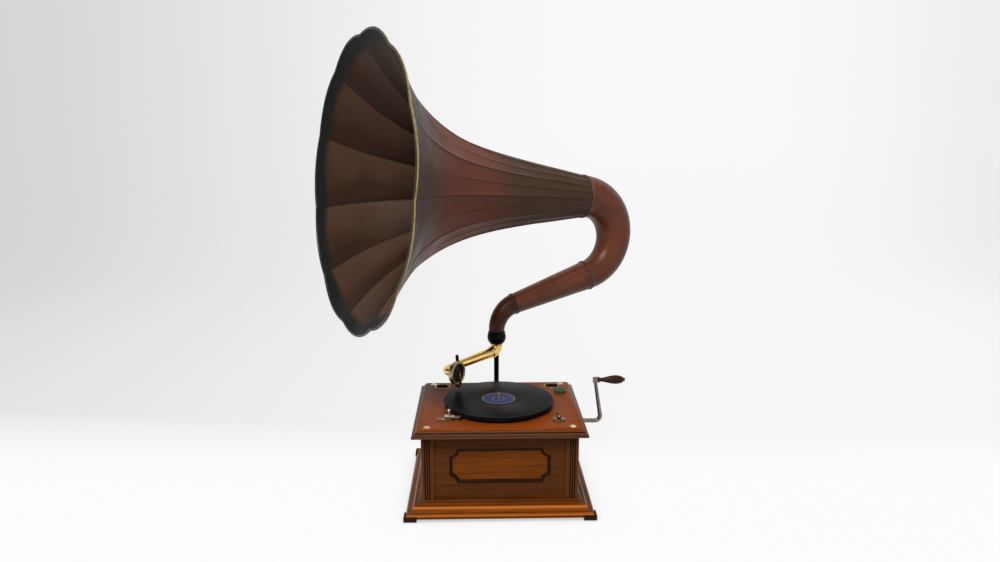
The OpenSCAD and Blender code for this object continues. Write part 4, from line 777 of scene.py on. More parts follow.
class GRAMOPHONE_OT_carcass(bpy.types.Operator):
    """Build the fluted posts and the feet and finish the panels"""
    bl_idname = "gramophone.carcass"
    bl_label = "Carcass"

    def execute(self, context):
        c = context.scene.gramophone_cabinet
        side, flute = c.post * 1000, c.flute * 1000
        half, pitch, soft = side / 2, side * 0.185, 1.2
        face = [(half - soft, -half), (half, -half + soft)]
        for k in (-1, 0, 1):
            face += [(half - y, x) for x, y in arc((k * pitch, 0), (flute, flute), 180, 0, 10)]
        outline = face + [(half, half - soft), (half - soft, half)]
        outline += [(y, x) for x, y in reversed(face[2:])] + [(-half, half), (-half, -half)]
        # The flutes get painted shade and the arrises between them painted highlights.
        outline, rub = edge_light_points(outline, 26.0, 1.2)
        bm = new_shape()
        note = edge_light_note(bm, rub)
        for sx in (-1, 1):
            for sy in (-1, 1):
                cx, cy = sx * (POSTS[1].x - half), sy * (POSTS[1].y - half)
                loft(bm, len(outline), 2, lambda i, k: (cx + sx * outline[i][0], cy + sy * outline[i][1],
                                                        POSTS[k].z), caps=True, note=note)
        piece(bm, "fluted_posts", [body_oak("z", 7, True)], "corner_posts", 25)
        foot_tones = c.oak_dark, srgb(50, 28, 16), srgb(28, 16, 10)
        from_cad("feet", "corner_feet", oak("Foot oak", foot_tones, "x", 8), 1.5)
        for node, axis, seed in (("front_panel", "x", 9), ("back_panel", "x", 10), ("side_panels", "y", 11),
                                 ("base_board", "x", 12)):
            dress(node, body_oak(axis, seed))
        return {"FINISHED"}


class GRAMOPHONE_OT_tablet(bpy.types.Operator):
    """Build the sunk tablet on the front and its lining"""
    bl_idname = "gramophone.tablet"
    bl_label = "Front tablet"

    def execute(self, context):
        c = context.scene.gramophone_cabinet
        wide, tall = TABLET[1].x - TABLET[0].x, TABLET[1].z - TABLET[0].z
        scoop, lining = c.tablet_scoop * 1000, c.tablet_frame * 1000
        face_y, depth = PANEL[0].y, PANEL[1].y - PANEL[0].y
        middle = (TABLET[0].z + TABLET[1].z) / 2
        steps = 12
        corners = [(1, 1), (1, -1), (-1, -1), (-1, 1)]
        around = len(corners) * (steps + 1)

        def edge_point(inset, k):
            """Point of the scooped outline drawn in by an inset, as x and z from the middle."""
            sx, sz = corners[k // (steps + 1)]
            u = (k % (steps + 1)) / steps
            if sx * sz < 0:
                u = 1 - u
            reach = scoop + inset
            low = math.asin(inset / reach)
            a = low + (math.pi / 2 - 2 * low) * u
            return sx * (wide / 2 - reach * math.cos(a)), sz * (tall / 2 - reach * math.sin(a))

        # Lining from the panel's face down to the tablet, as [inset, height over the face]
        section = [(0, -depth)] + arc((0.9, 0.2), (0.9, 0.6), 180, 0, 6)
        section += [(2.0, -0.2)] + arc((2.4, -3.6), (2.6, 2.6), 90, 0, 6)
        section += [(lining - 0.6, -3.8), (lining, -4.4), (lining, -depth)]

        def lining_point(i, k):
            x, z = edge_point(section[i][0], k)
            return x, face_y - section[i][1], middle + z

        bm = new_shape()
        loft(bm, len(section), around, lining_point, path_loop=True)
        # The lining's near-black oak is painted shade in the recess round the tablet.
        dark = oak("Lining oak", (c.oak_dark, srgb(40, 20, 10), srgb(20, 10, 6)), "x", 13)
        piece(bm, "tablet_lining", [dark], "tablet_moulding", 40)

        front, back = box_mm("front_tablet")
        chamfer = 0.5
        rings = [(lining, back.y), (lining, front.y + chamfer), (lining + chamfer, front.y)]

        def board_point(i, k):
            x, z = edge_point(rings[k][0], i)
            return x, rings[k][1], middle + z

        bm = new_shape()
        loft(bm, around, len(rings), board_point, caps=True)
        piece(bm, "tablet_board", [oak("Tablet oak", tones_of("tablet"), "x", 14)], "front_tablet", 40)
        return {"FINISHED"}


class GRAMOPHONE_OT_deck(bpy.types.Operator):
    """Finish the deck and build its screws, cups, rest, brake and speed control"""
    bl_idname = "gramophone.deck"
    bl_label = "Deck"

    def execute(self, context):
        bronze = worn("Fitting bronze")
        deck_oak = oak("Deck oak x 2", tones_of("deck"), "x", 2, coat=0.0, shine=0.04)
        from_cad("motor_board", "deck_board", deck_oak, 1.4, longest=200)
        for node in ("deck_screws", "bracket_screws"):
            from_cad(node, node[:-1] + "_heads", worn("Screw brass"))
        deck = BOARD[1].z
        for node, name in (("needle_cup_left", "left_cup"), ("needle_cup_right", "right_cup")):
            low, high = box_mm(node)
            r, floor = (high.x - low.x) / 2, low.z - deck
            bowl = r - 2.5
            outline = [(0, floor), (bowl - 3, floor), (bowl, floor + 3), (bowl, 0), (r - 0.2, 0), (r, 0.25)]
            outline += arc((r - 1.1, 0.1), (1.1, 1.0), 10, 90, 5) + [(bowl + 0.4, 1.15)]
            outline += arc((bowl - 0.3, 0.2), (0.9, 0.9), 80, 180, 5)
            outline += [(bowl - 1.2, floor + 4)] + arc((bowl - 4, floor + 4), (2.8, 2.8), 0, -90, 6)
            outline += [(0, floor + 1.2)]
            turned(node, name, bronze, outline, self.middle(low, high, deck), closed=False)
        low, high = REST
        r, h = (high.x - low.x) / 2, high.z - low.z
        outline = [(0, 0), (r - 0.6, 0), (r, 0.5), (r, h - 2)] + arc((r - 2, h - 2), (2, 2), 0, 90, 6)
        outline += [(r * 0.5, h - 0.15), (0, h - 0.3)]
        place = self.middle(low, high, low.z)
        rest = turned("soundbox_rest", "cloth_rest", baize(), outline, place, closed=False)
        for node, name in (("brake_base", "brake_foot"), ("speed_dial", "speed_plate"),
                           ("speed_pointer", "speed_hand")):
            from_cad(node, name, bronze, 0.3)
        bm = cad_shape("brake_lever")
        soften(bm, 0.35)
        for face in bm.faces:
            x, y, _ = face.calc_center_median()
            face.material_index = int(math.hypot(x, y - SPINDLE_Y) < PLATTER[1].x + PAD_REACH)
        piece(bm, "brake_arm", [worn("Nickel plate"), worn("Pad leather")], "brake_lever")
        return {"FINISHED"}

    @staticmethod
    def middle(low, high, z):
        return shift((low.x + high.x) / 2, (low.y + high.y) / 2, z)


class GRAMOPHONE_OT_turntable(bpy.types.Operator):
    """Build the platter, its felt, the record, the label and the spindle"""
    bl_idname = "gramophone.turntable"
    bl_label = "Turntable"

    def execute(self, context):
        d = context.scene.gramophone_disc
        axis, bore = shift(0, SPINDLE_Y, 0), SPINDLE_BORE
        r, low, top, foot = PLATTER[1].x, SKIRT_Z, PLATTER[1].z, PLATTER[0].z
        outline = [(bore, top), (r - 2, top), (r - 0.6, top - 0.5), (r, top - 1.6), (r, low + 1.4),
                   (r - 0.5, low + 0.4), (r - 1.6, low), (r - 3.2, low), (r - 4, low + 0.8),
                   (r - 4, top - 2.4), (HUB_R, top - 2.4), (HUB_R, foot), (HUB_BORE, foot),
                   (HUB_BORE, top - 3), (bore, top - 3)]
        turned("platter", "platter_pressing", worn("Black enamel"), outline, axis, 128)

        low, top, r = MAT[0].z, MAT[1].z, MAT[1].x
        outline = [(bore, low), (r - 0.4, low), (r, low + 0.4), (r, top - 0.5), (r - 0.5, top),
                   (r * 0.6, top), (bore, top)]
        mat = turned("turntable_felt", "platter_felt", baize(), outline, axis, 128)

        low, top, r = DISC[0].z, DISC[1].z, DISC[1].x
        label_r, groove, run_out = LABEL[1].x, top - 0.12, top - 0.25
        outline = [(bore, low), (r - 1.6, low)] + arc((r - 1.0, (low + top) / 2), (1.0, 1.0), -90, 90, 8)
        outline += [(r - 2.4, top - 0.22), (r - 5, top - 0.22), (r - 5.6, groove), (label_r + 10, groove),
                    (label_r + 9, run_out), (label_r + 1, run_out), (label_r, top), (bore, top)]
        turned("record", "disc", self.shellac(d), outline, axis, 192, sharp=60)

        low, top = LABEL[0].z, LABEL[1].z
        outline = [(bore, low), (label_r, low), (label_r, top - 0.1), (label_r - 0.15, top), (8, top),
                   (bore, top)]
        turned("record_label", "plain_label", self.paper(d), outline, axis, 96)
        from_cad("spindle", "spindle_pin", worn("Crank iron"))
        return {"FINISHED"}

    @staticmethod
    def spindle_distance(p):
        """Distance from the spindle in metres."""
        flat = p.add("Mapping", {"Vector": p.coords, "Location": (0, -0.001 * SPINDLE_Y, 0),
                                 "Scale": (1, 1, 0)})[0]
        return p.add("VectorMath", {0: flat}, operation="LENGTH")["Value"]

    def shellac(self, d):
        """Black shellac with fine grooves and faint dust."""
        p = Finish("Shellac", Anisotropic=0.8, Specular_IOR_Level=0.025)
        along = p.add("CombineXYZ", {0: self.spindle_distance(p)})[0]
        rings, bands = p.noise(along, 2400, 2, 0.6), p.noise(along, 240, 3)
        dust = p.ease(p.noise(p.coords, 260, 4, 0.7), 0.6, 0.78, 0.0, 0.2)
        p.bump(rings, 0.05, 0.0002)
        return p.set(Base_Color=p.mix(dust, d.shellac, srgb(44, 42, 38)),
                     Roughness=p.ease(bands, 0.3, 0.7, 0.24, 0.32),
                     Tangent=p.add("Tangent", direction_type="RADIAL", axis="Z")[0])

    def paper(self, d):
        """Plain printed paper with two thin rings and rubbed edges."""
        p = Finish("Label paper", Roughness=0.6)
        reach = self.spindle_distance(p)
        tone = d.label
        for ring in (0.0365, 0.0135):
            off = p.add("Math", {0: p.less(reach, ring)}, operation="ABSOLUTE")[0]
            tone = p.mix(p.ease(off, 0.0004, 0.0007, 1.0, 0.0), tone, d.label_line)
        scuff = p.ease(p.noise(p.coords, 180, 5, 0.65), 0.52, 0.72, 0.0, 0.5)
        p.bump(p.noise(p.coords, 900, 3), 0.15, 0.0003)
        return p.set(Base_Color=p.mix(scuff, tone, srgb(120, 122, 150)))


class GRAMOPHONE_OT_motor(bpy.types.Operator):
    """Finish the motor inside the cabinet"""
    bl_idname = "gramophone.motor"
    bl_label = "Motor"

    def execute(self, context):
        for finish, nodes in (
                ("Crank iron", ("motor_plate_top", "motor_plate_bottom", "motor_pillars", "governor_cocks",
                                "friction_lever", "winding_arbor")),
                ("Gilt brass", ("governor_wheel", "spring_barrel", "barrel_lid", "intermediate_wheel",
                                "governor_weights", "governor_disc")),
                ("Nickel plate", ("mainspring", "governor_springs", "governor_shaft"))):
            for node in nodes:
                dress(node, worn(finish))
        return {"FINISHED"}


class GRAMOPHONE_OT_crank(bpy.types.Operator):
    """Build the crank, its handle and its escutcheon"""
    bl_idname = "gramophone.crank"
    bl_label = "Crank"

    def execute(self, context):
        from_cad("crank", "crank_rod", worn("Crank iron"), sharp=40)
        from_cad("crank_escutcheon", "crank_plate", worn("Gilt brass"), 0.4)
        low, high = box_mm("crank_handle")
        span, r, bore = high.x - low.x, (high.y - low.y) / 2, 2.05
        neck, tip, start, belly, tail = 4.4, 3.6, 6.4, 0.66, 0.37
        outline = [(bore, 0), (6.2, 0), (6.7, 0.6), (6.7, 3.4), (6.3, 4.2), (5.2, 4.6), (5.2, 5.2),
                   (4.6, 5.8)]
        rings = 24
        for i in range(rings + 1):
            v = i / rings
            if v < belly:
                swell = neck + (r - neck) * math.sin(math.pi / 2 * v / belly) ** 1.7
            else:
                swell = r * math.sqrt(1 - ((v - belly) / tail) ** 2)
            outline.append((max(tip, swell), start + (span - start) * v))
        outline.append((bore, span))
        grip = context.scene.gramophone_disc.grip
        wood = oak("Handle wood", (grip, shade(grip, 0.7), srgb(30, 18, 12)), "x", 15, 0.15)
        place = shift(low.x, 0, (low.z + high.z) / 2) @ turn("Y", 90)
        turned("crank_handle", "turned_handle", wood, outline, place, 48)
        return {"FINISHED"}


class GRAMOPHONE_OT_bracket(bpy.types.Operator):
    """Finish the bracket that carries the horn and the arm"""
    bl_idname = "gramophone.bracket"
    bl_label = "Bracket"

    def execute(self, context):
        from_cad("horn_bracket", "bracket_casting", worn("Black enamel"), 0.5)
        return {"FINISHED"}


class GRAMOPHONE_OT_tone_arm(bpy.types.Operator):
    """Build the tone arm and the finger lift"""
    bl_idname = "gramophone.tone_arm"
    bl_label = "Tone arm"

    def execute(self, context):
        brass = worn("Gilt brass")
        x, y, z = Vector((1, 0, 0)), Vector((0, 1, 0)), Vector((0, 0, 1))
        flange, lip = 34.5, STEM_R + 2.5
        path = [(height * z, -z, r) for height, r in (
            (flange + 3, lip - 0.3), (flange + 2.7, lip), (flange, lip), (flange - 0.05, STEM_R),
            (STEM_TAN + 1.2, STEM_R), (STEM_TAN + 0.9, STEM_R + 0.9), (STEM_TAN + 0.4, ELBOW_R - 0.2))]
        path += bend(STEM_BEND * x + STEM_TAN * z, -x, -z, STEM_BEND, 90 - ARM_DROOP, 32, ELBOW_R)
        end, ahead, _ = path[-1]
        path += [(end + t * ahead, ahead, ELBOW_R + r) for t, r in (
            (0.2, 0.0), (0.4, 0.5), (0.9, 0.8), (RING - 0.9, 0.8), (RING - 0.4, 0.5), (RING, 0.0))]
        piped("tonearm_elbow", "arm_elbow", brass, path, y, ARM, 72, bore=STEM_R - ARM_WALL)

        start, rings, spigot_len = STEM_TAN + RING, 36, 20
        span, wide, narrow = SLEEVE_X - start, ELBOW_R - 1.4, SLEEVE_R + 0.8
        spigot = SLEEVE_R - ARM_WALL - 0.05
        outline = [(wide - ARM_WALL, 0)]
        outline += [(wide + (narrow - wide) * i / rings, span * i / rings) for i in range(rings + 1)]
        outline += [(spigot, span), (spigot, span + spigot_len), (spigot - ARM_WALL, span + spigot_len),
                    (spigot - ARM_WALL, span - 4)]
        turned("tonearm_tube", "arm_tube", brass, outline, TUBE @ shift(start, 0, 0) @ turn("Y", 90), 96)

        path = [((SLEEVE_X + 0.2 + t) * x, x, SLEEVE_R + r) for t, r in (
            (0, 0.9), (0.4, 1.3), (3.6, 1.3), (4.0, 0.9), (4.2, 0.0), (SLEEVE / 2, 0.0))]
        path += bend((ARM_LEN - CROOK_TAN) * x + CROOK_BEND * y, -y, x, CROOK_BEND, CROOK_TURN, 32, SLEEVE_R)
        end, ahead, _ = path[-1]
        path.append((end + (BOX_REACH - BOX_DEPTH - CROOK_TAN) * ahead, ahead, SLEEVE_R))
        piped("crook", "arm_crook", brass, path, z, TUBE, 64, bore=SLEEVE_R - ARM_WALL)
        from_cad("finger_lift", "arm_lift", worn("Black enamel"), 0.4)
        return {"FINISHED"}


class GRAMOPHONE_OT_soundbox(bpy.types.Operator):
    """Build the soundbox, its diaphragm and the needle"""
    bl_idname = "gramophone.soundbox"
    bl_label = "Soundbox"

    def execute(self, context):
        metal = worn("Soundbox bronze")
        r, back, seat, bore, skin = BOX_R, -BOX_DEPTH, -2.4, 8.05, -0.4 * BOX_DEPTH
        inner, floor = r - 4.0, skin - 2.6
        outline = [(bore, back), (12, back), (12.6, back + 0.5)]
        outline += arc((r - 3, back + 3.2), (3, 2.7), -90, 0, 8)
        outline += [(r, seat - 1.6), (r - 0.5, seat - 1.3), (r - 0.5, seat - 0.9), (r, seat - 0.6), (r, seat)]
        outline += [(inner, seat), (inner, floor), (bore, floor)]
        turned("soundbox_case", "box_case", metal, outline, BOX, 96)

        outline = [(inner - 1, seat), (r + 0.3, seat), (r + 0.8, seat + 0.5), (r + 0.8, -0.5), (r + 0.3, 0)]
        outline += arc((r - 1.7, -0.4), (1.7, 1.7), 14, 166, 14) + [(inner - 0.5, 0), (inner - 1, -0.5)]
        turned("soundbox_ring", "box_ring", metal, outline, BOX, 96)

        bm = new_shape()
        lip, edge = inner - 2.5, inner - 0.05
        outline = [(0, skin - 0.4), (lip, skin - 0.4), (lip, floor), (edge, floor), (edge, seat)]
        outline += arc((lip + 0.5, seat - 0.5), (0.5, 0.5), 90, 180, 4) + [(lip, skin), (lip - 1.2, skin)]
        outline += arc((lip - 2.2, skin), (1.0, 0.3), 0, 180, 8) + [(3, skin), (0, skin)]
        lathe(bm, outline, BOX, 96)
        to_box = BOX.inverted()
        for face in bm.faces:
            x, y, _ = to_box @ face.calc_center_median()
            face.material_index = int(math.hypot(x, y) > lip - 0.1)
        piece(bm, "mica_disc", [worn("Mica"), worn("Gasket rubber")], "diaphragm")
        from_cad("stylus_bar", "needle_bar", worn("Fitting bronze"), 0.25)
        from_cad("needle", "steel_needle", worn("Nickel plate"))
        return {"FINISHED"}


# Horn

def smooth_step(value, low, high):
    """Smooth step from 0 at low to 1 at high."""
    u = max(0.0, min(1.0, (value - low) / (high - low)))
    return u * u * (3 - 2 * u)


def ridge(distance, half):
    """Rounded ridge, 1 in the middle and 0 at its half width."""
    return max(0.0, 1 - (distance / half) ** 2)


class GRAMOPHONE_OT_bell(bpy.types.Operator):
    """Build the petalled bell and its rolled rim"""
    bl_idname = "gramophone.bell"
    bl_label = "Bell"

    # Angle of the first seam, points of the ring in a petal, power of the flare, half widths of the ridges
    SEAM_AT = 6.3
    PER_PETAL = 16
    FLARE = 4.7
    SEAM_HALF, CREASE_HALF = 2.4, 2.2

    def execute(self, context):
        h = context.scene.gramophone_horn
        self.petals = h.petals
        self.throat, self.mouth, self.cone = h.throat * 1000, h.mouth * 1000, h.cone * 1000
        self.reach, self.notch, self.seam = h.reach * 1000, h.notch * 1000, h.seam * 1000
        sheet = h.sheet * 1000
        count = self.PER_PETAL * self.petals
        rows = 72
        shares = [1 - (1 - k / rows) ** 1.35 for k in range(rows + 1)]
        walls = [(s, 0.0) for s in shares] + [(s, sheet) for s in reversed(shares)]
        bm = new_shape()
        layers = [bm.verts.layers.float.new(n) for n in ("along", "seam_mm", "crease_mm", "across", "inside")]
        inside = layers[-1]

        def note(v, i, k):
            s, off = walls[k]
            f, width = self.place_in_petal(i, s)
            values = s, width * min(f, 1 - f), width * abs(f - 0.5), f, float(off > 0)
            for layer, value in zip(layers, values):
                v[layer] = value

        loft(bm, count, len(walls), lambda i, k: self.wall_point(i, *walls[k]), path_loop=True, note=note,
             place=BELL)
        for face in bm.faces:
            face.material_index = int(all(v[inside] > 0.5 for v in face.verts))
        piece(bm, "petalled_bell", [self.outer_paint(h), self.inner_paint(h)], "horn_bell", 50)

        bm = new_shape()
        facing = bm.verts.layers.float.new("facing")
        sides, bead, stand_off = 14, 3.1, 2.85
        lean = math.atan(self.slope(1.0))
        ahead = Vector((1, 0, 0))

        def rim_point(i, k):
            t = self.angle_at(k, 1.0)
            out = Vector((0, -math.sin(t), math.cos(t)))
            middle = Vector(self.wall_point(k, 1.0, sheet / 2))
            centre = middle + stand_off * (out * math.sin(lean) + math.cos(lean) * ahead)
            b = lean + math.tau * i / sides
            return centre + bead * (out * math.sin(b) + math.cos(b) * ahead)

        def rim_note(v, i, k):
            v[facing] = float(60 < math.degrees(lean + math.tau * i / sides) % 360 < 240)

        loft(bm, sides, count, rim_point, path_loop=True, note=rim_note, place=BELL)
        piece(bm, "rolled_rim", [self.rim_paint(h)], "horn_rim", 50)
        return {"FINISHED"}

    def radius(self, s):
        return self.throat + self.cone * s + (self.mouth - self.throat - self.cone) * s ** self.FLARE

    def slope(self, s):
        flare = (self.mouth - self.throat - self.cone) * self.FLARE * s ** (self.FLARE - 1)
        return (self.cone + flare) / self.reach

    def place_in_petal(self, i, s):
        """Share of the petal at the ring's point i, and the petal's width there in mm."""
        width = self.radius(s) * math.tau / self.petals
        a, b = 1.1 / width, self.SEAM_HALF / width
        c, d = 0.5 - self.CREASE_HALF / width, 0.5 - 1.0 / width
        half = [0, a, b] + [b + (c - b) * n / 4 for n in (1, 2, 3)] + [c, d]
        stops = half + [0.5] + [1 - x for x in reversed(half[1:])]
        return stops[i % self.PER_PETAL], width

    def angle_at(self, i, s):
        f = self.place_in_petal(i, s)[0]
        return math.radians(self.SEAM_AT - 360 * (i // self.PER_PETAL + f) / self.petals)

    def wall_point(self, i, s, off):
        """Point i of the ring at share s of the length, off inside the outer face.

        The petals are flat from seam to seam in the middle, and from seam to crease near the throat."""
        f, width = self.place_in_petal(i, s)
        t = self.angle_at(i, s)
        lean = math.atan(self.slope(s))
        from_seam = min(f, 1 - f)
        fade = max(0.0, min(1.0, (0.8 - s) / 0.2))
        lift = self.seam * ridge(width * from_seam, self.SEAM_HALF) * min(1.0, (1 - s) / 0.02)
        lift += 0.6 * self.seam * fade * ridge(width * abs(f - 0.5), self.CREASE_HALF)
        petal, strip = math.pi / self.petals, math.pi / self.petals / 2
        flat = math.cos(petal) / math.cos(petal * (2 * f - 1)) - 1
        lift += self.radius(s) * flat * smooth_step(s, 0.12, 0.4) * smooth_step(s, 0.95, 0.7)
        flat = math.cos(strip) / math.cos(strip * (4 * from_seam - 1)) - 1
        lift += self.radius(s) * flat * smooth_step(s, 0.5, 0.2)
        r = self.radius(s) - self.notch * s ** 4 * abs(2 * f - 1) ** 1.8 + lift - off * math.cos(lean)
        return s * self.reach + off * math.sin(lean), -r * math.sin(t), r * math.cos(t)

    @staticmethod
    def outer_paint(h):
        """Lacquer that goes from umber at the throat through red to slate at the rim, dark in the seams."""
        p = Finish("Bell lacquer", Specular_IOR_Level=0.18)
        along, cloud = p.reading("along"), p.noise(p.coords, 9, 4)
        at = p.drift(along, cloud, 0.16)
        tone = p.mix(p.ease(at, 0.34, 0.6), h.umber, h.red)
        tone = p.mix(p.ease(at, 0.74, 0.92), tone, h.slate)
        seam = p.ease(p.reading("seam_mm"), 0.6, 3.2, 0.75, 0.0)
        crease = p.ease(p.reading("crease_mm"), 0.4, 2.6, 0.55, 0.0)
        crease = p.times(crease, p.ease(along, 0.6, 0.8, 1.0, 0.0))
        tone = p.mix(p.most(seam, crease), tone, srgb(46, 34, 27))
        speck = p.ease(p.noise(p.coords, 320, 4, 0.7), 0.6, 0.74, 0.0, 0.3)
        p.bump(p.noise(p.coords, 700, 3), 0.08, 0.0004)
        return p.set(Base_Color=p.mix(speck, tone, srgb(60, 46, 38)),
                     Roughness=p.ease(cloud, 0.3, 0.7, 0.42, 0.6))

    @staticmethod
    def inner_paint(h):
        """Brown with painted light and shade across each petal, lighter toward one seam, with a green black
        border and dark seams.
        """
        p = Finish("Bell inside", Specular_IOR_Level=0.12)
        cloud = p.noise(p.coords, 8, 4)
        at = p.drift(p.reading("along"), cloud, 0.03)
        tone = p.mix(p.ease(at, 0.3, 0.8), srgb(46, 28, 18), h.inner)
        # Painted light across each petal: shaded at one seam and lighter toward the other.
        petal_light = p.ease(p.plus(p.reading("across"), p.less(cloud, 0.5)), 0.1, 0.95)
        shadow = p.mix(1.0, tone, (0.62, 0.6, 0.58), "MULTIPLY")
        tone = p.mix(petal_light, shadow, p.mix(0.32, tone, srgb(112, 84, 66)))
        tone = p.mix(p.ease(at, 0.964, 0.984), tone, h.border)
        seam = p.ease(p.reading("seam_mm"), 0.8, 5.0, 0.6, 0.0)
        p.bump(p.noise(p.coords, 700, 3), 0.06, 0.0004)
        return p.set(Base_Color=p.mix(seam, tone, srgb(30, 20, 15)),
                     Roughness=p.ease(cloud, 0.3, 0.7, 0.48, 0.62))

    @staticmethod
    def rim_paint(h):
        """Gold paint on the back of the bead, worn through to dark metal, and dark paint on its front."""
        p = Finish("Rim gilt")
        gold = p.reading("facing")
        wear = p.ease(p.noise(p.coords, 70, 5, 0.65), 0.5, 0.68, 0.0, 0.6)
        tone = p.mix(wear, h.gilt, srgb(84, 62, 34))
        return p.set(Base_Color=p.mix(gold, h.border, tone), Metallic=p.times(gold, 0.7),
                     Roughness=p.ease(wear, 0.0, 0.6, 0.34, 0.55))


class GRAMOPHONE_OT_pipes(bpy.types.Operator):
    """Build the large elbow, the tapered pipe, the neck and their collars"""
    bl_idname = "gramophone.pipes"
    bl_label = "Horn pipes"

    def execute(self, context):
        wall = context.scene.gramophone_horn.sheet * 1000
        across = Vector((0, 1, 0))
        lacquer = worn("Pipe lacquer")
        path = [(PIPE_END, BACK, PIPE_R)]
        path += bend(ELBOW_C, heading(270 - PIPE_RISE), BACK, ELBOW_BEND, 180 - PIPE_RISE - HORN_RISE, 48,
                     PIPE_R, THROAT_R)
        path.append((THROAT, heading(HORN_RISE), THROAT_R))
        piped("horn_elbow", "large_elbow", lacquer, path, across, HORN, 72, wall)

        steps = 12
        path = [(NECK_END + PIPE_LEN * i / steps * BACK, BACK, PIPE_R2 + (PIPE_R - PIPE_R2) * i / steps)
                for i in range(steps + 1)]
        piped("horn_pipe", "tapered_pipe", lacquer, path, across, HORN, 64, wall)

        path = [(Vector((0, 0, NECK_Z)), heading(90), NECK_R)]
        path += bend(Vector((-NECK_BEND, 0, NECK_Z + 1)), heading(0), heading(90), NECK_BEND, NECK_SWEEP, 32,
                     NECK_R, PIPE_R2)
        piped("horn_neck", "swan_neck", worn("Neck lacquer"), path, across, HORN, 56, wall)

        bm = new_shape()
        for place, r, w in ((BELL @ turn("Y", 90) @ shift(0, 0, -3), THROAT_R + 0.3, 9),
                            (PIPE @ shift(0, 0, PIPE_LEN + 1), PIPE_R + 0.2, 8), (PIPE, PIPE_R2 + 0.4, 6)):
            outline = [(r, -w / 2), (r + 0.6, -w / 2), (r + 0.9, -w / 2 + 0.3)]
            outline += arc((r + 0.4, 0), (0.2 * w, 0.2 * w), -75, 75, 10)
            outline += [(r + 0.9, w / 2 - 0.3), (r + 0.6, w / 2), (r, w / 2)]
            lathe(bm, outline, place, 72, closed=True)
        mark = len(bm.faces)
        low, bore, spigot, lip = NECK_Z - 2, 12.5, 14.5, NECK_R + 0.6
        outline = [(bore, low - 11), (spigot, low - 11), (spigot, low), (NECK_R, low), (lip, low + 0.6),
                   (lip, low + 1.4), (NECK_R, NECK_Z), (bore, NECK_Z)]
        lathe(bm, outline, shift(0, PIVOT_Y, 0), 64, closed=True)
        for face in list(bm.faces)[mark:]:
            face.material_index = 1
        piece(bm, "joint_collars", [worn("Collar lacquer"), worn("Black enamel")], "horn_collars")
        return {"FINISHED"}


# Stage, in metres

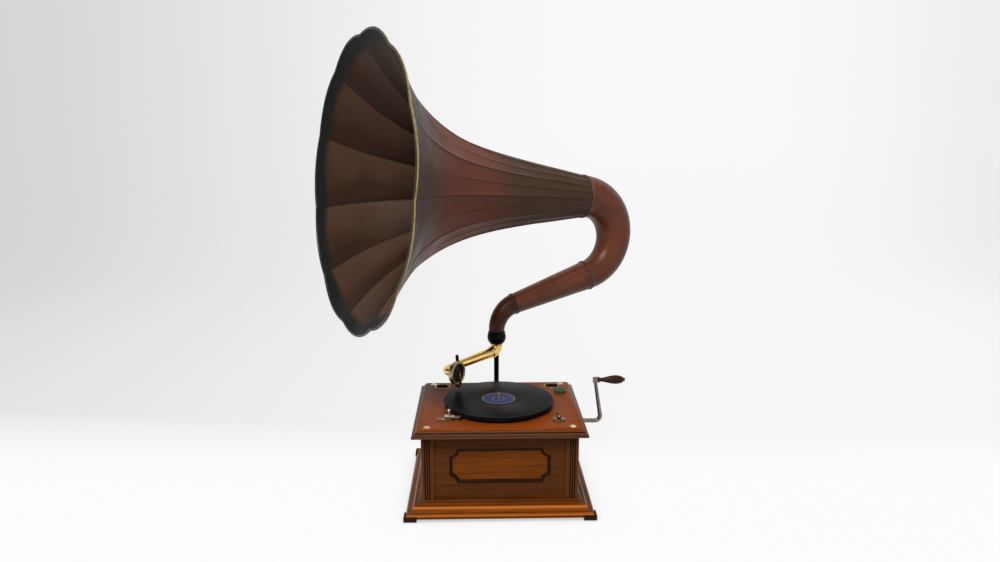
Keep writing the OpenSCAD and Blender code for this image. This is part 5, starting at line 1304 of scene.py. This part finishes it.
class GRAMOPHONE_OT_stage(bpy.types.Operator):
    """Set up the camera, the floor and the light"""
    bl_idname = "gramophone.stage"
    bl_label = "Stage"

    FLOOR_REACH, WALL_Y, COVE = 9.0, 3.4, 1.2

    def execute(self, context):
        scene = context.scene
        s = scene.gramophone_stage
        scene.view_settings.view_transform = "Standard"
        data = bpy.data.cameras.new("Camera")
        data.sensor_fit, data.sensor_width, data.lens, data.clip_end = "HORIZONTAL", 36.0, s.lens, 50
        scene.camera = show("Camera", data)
        level = math.cos(s.pitch)
        self.aim(scene.camera, s.eye, Vector((math.sin(s.yaw) * level, math.cos(s.yaw) * level,
                                              -math.sin(s.pitch))))

        bm = bmesh.new()
        line = [(-self.FLOOR_REACH, 0.0)]
        line += arc((self.WALL_Y - self.COVE, self.COVE), (self.COVE, self.COVE), -90, 0, 16)
        line += [(self.WALL_Y, self.FLOOR_REACH)]
        verts = [bm.verts.new((-self.FLOOR_REACH, y, z)) for y, z in line]
        edges = [bm.edges.new(pair) for pair in zip(verts, verts[1:])]
        made = bmesh.ops.extrude_edge_only(bm, edges=edges)
        bmesh.ops.translate(bm, vec=(2 * self.FLOOR_REACH, 0, 0), verts=new_verts(made))
        show("Backdrop", mesh_of(bm, "Backdrop", [self.paper(s)]))

        scene.world = bpy.data.worlds.new("Studio")
        scene.world.use_nodes = True
        sky = Nodes(scene.world.node_tree)
        even = sky.tree.nodes["Background"]
        sky.fill(even.inputs, {"Color": (1, 1, 1), "Strength": s.sky})
        up = sky.add("SeparateXYZ", {0: sky.add("TexCoord")["Generated"]})["Z"]
        pale = sky.add("Background", {"Color": sky.grey(sky.ease(up, 0.0, 0.8, 0.8, 0.3))})
        sky.blend(sky.seen(), even.outputs[0], pale[0], "World Output")
        for name, power, size, place, target in (
                ("Key", s.key, 1.4, (-1.1, -1.8, 2.9), (0, 0, 0.35)),
                ("Overhead", s.overhead, 2.4, (0.2, -0.2, 3.0), (0, 0, 0.3)),
                ("Side", s.side, 1.4, (2.1, -1.3, 1.5), (0, 0, 0.5))):
            light = bpy.data.lights.new(name, "AREA")
            light.energy, light.shape, light.size = power, "SQUARE", size
            self.aim(show(name, light), place, Vector(target) - Vector(place))
        return {"FINISHED"}

    @staticmethod
    def aim(obj, place, sight):
        obj.location = place
        obj.rotation_euler = sight.to_track_quat("-Z", "Y").to_euler()

    @staticmethod
    def paper(s):
        """Matt paper that takes light and shadow for bounces; the camera and reflections see it almost
        entirely as pale emission, with painted shade and a painted contact shadow.
        """
        p = Finish("Backdrop paper", Roughness=0.9, Specular_IOR_Level=0.1)
        cloud = p.grey(p.ease(p.noise(p.coords, 0.6, 2), 0.3, 0.7, 0.97, 1.0))
        p.set(Base_Color=p.mix(1.0, s.floor, cloud, "MULTIPLY"))
        axes = p.add("SeparateXYZ", {0: p.coords})
        # Painted shade on the far backdrop: darker toward its left and right ends, while the floor in front
        # stays white.
        level = p.plus(p.ease(axes["X"], -3.4, 0.8, 0.66, 0.95), p.ease(axes["X"], 1.6, 3.4, 0.0, -0.1))
        level = p.most(level, p.ease(axes["Y"], 0.0, 1.8, 1.0, 0.0))
        # Painted contact shadow: the emission darkens where the object is near.
        near = p.add("AmbientOcclusion", {"Distance": 0.1}, samples=8)["AO"]
        level = p.times(level, p.ease(near, 0.2, 1.0, 0.6, 1.0))
        wall = p.add("Emission", {"Color": p.grey(level)})
        share = p.times(p.seen(), p.ease(axes["Z"], 0.0, 0.9, 0.97, 1.0))
        p.blend(share, p.shader.outputs[0], wall[0], "Material Output")
        return p.material


class GRAMOPHONE_PT_panel(bpy.types.Panel):
    """Lists the pieces of the gramophone"""
    bl_idname = "GRAMOPHONE_PT_panel"
    bl_label = "Gramophone"
    bl_space_type = "VIEW_3D"
    bl_region_type = "UI"
    bl_category = "Gramophone"

    def draw(self, context):
        for name, kind in SETTINGS:
            col = self.layout.column(align=True)
            for key in kind.__annotations__:
                col.prop(getattr(context.scene, name), key)
        for maker in MAKERS:
            self.layout.operator(maker.bl_idname)


SETTINGS = (("gramophone_cabinet", CabinetSettings), ("gramophone_horn", HornSettings),
            ("gramophone_metal", MetalSettings), ("gramophone_disc", DiscSettings),
            ("gramophone_stage", StageSettings))
MAKERS = (GRAMOPHONE_OT_stage, GRAMOPHONE_OT_carcass, GRAMOPHONE_OT_mouldings, GRAMOPHONE_OT_tablet,
          GRAMOPHONE_OT_deck, GRAMOPHONE_OT_turntable, GRAMOPHONE_OT_motor, GRAMOPHONE_OT_crank,
          GRAMOPHONE_OT_bracket, GRAMOPHONE_OT_tone_arm, GRAMOPHONE_OT_soundbox, GRAMOPHONE_OT_bell,
          GRAMOPHONE_OT_pipes)
CLASSES = tuple(kind for _, kind in SETTINGS) + MAKERS + (GRAMOPHONE_PT_panel,)


def register():
    for cls in CLASSES:
        bpy.utils.register_class(cls)
    for name, kind in SETTINGS:
        setattr(bpy.types.Scene, name, PointerProperty(type=kind))


def unregister():
    for name, _ in SETTINGS:
        delattr(bpy.types.Scene, name)
    for cls in reversed(CLASSES):
        bpy.utils.unregister_class(cls)


def main():
    register()
    for maker in MAKERS:
        family, name = maker.bl_idname.split(".")
        getattr(getattr(bpy.ops, family), name)()


if __name__ == "__main__":
    main()
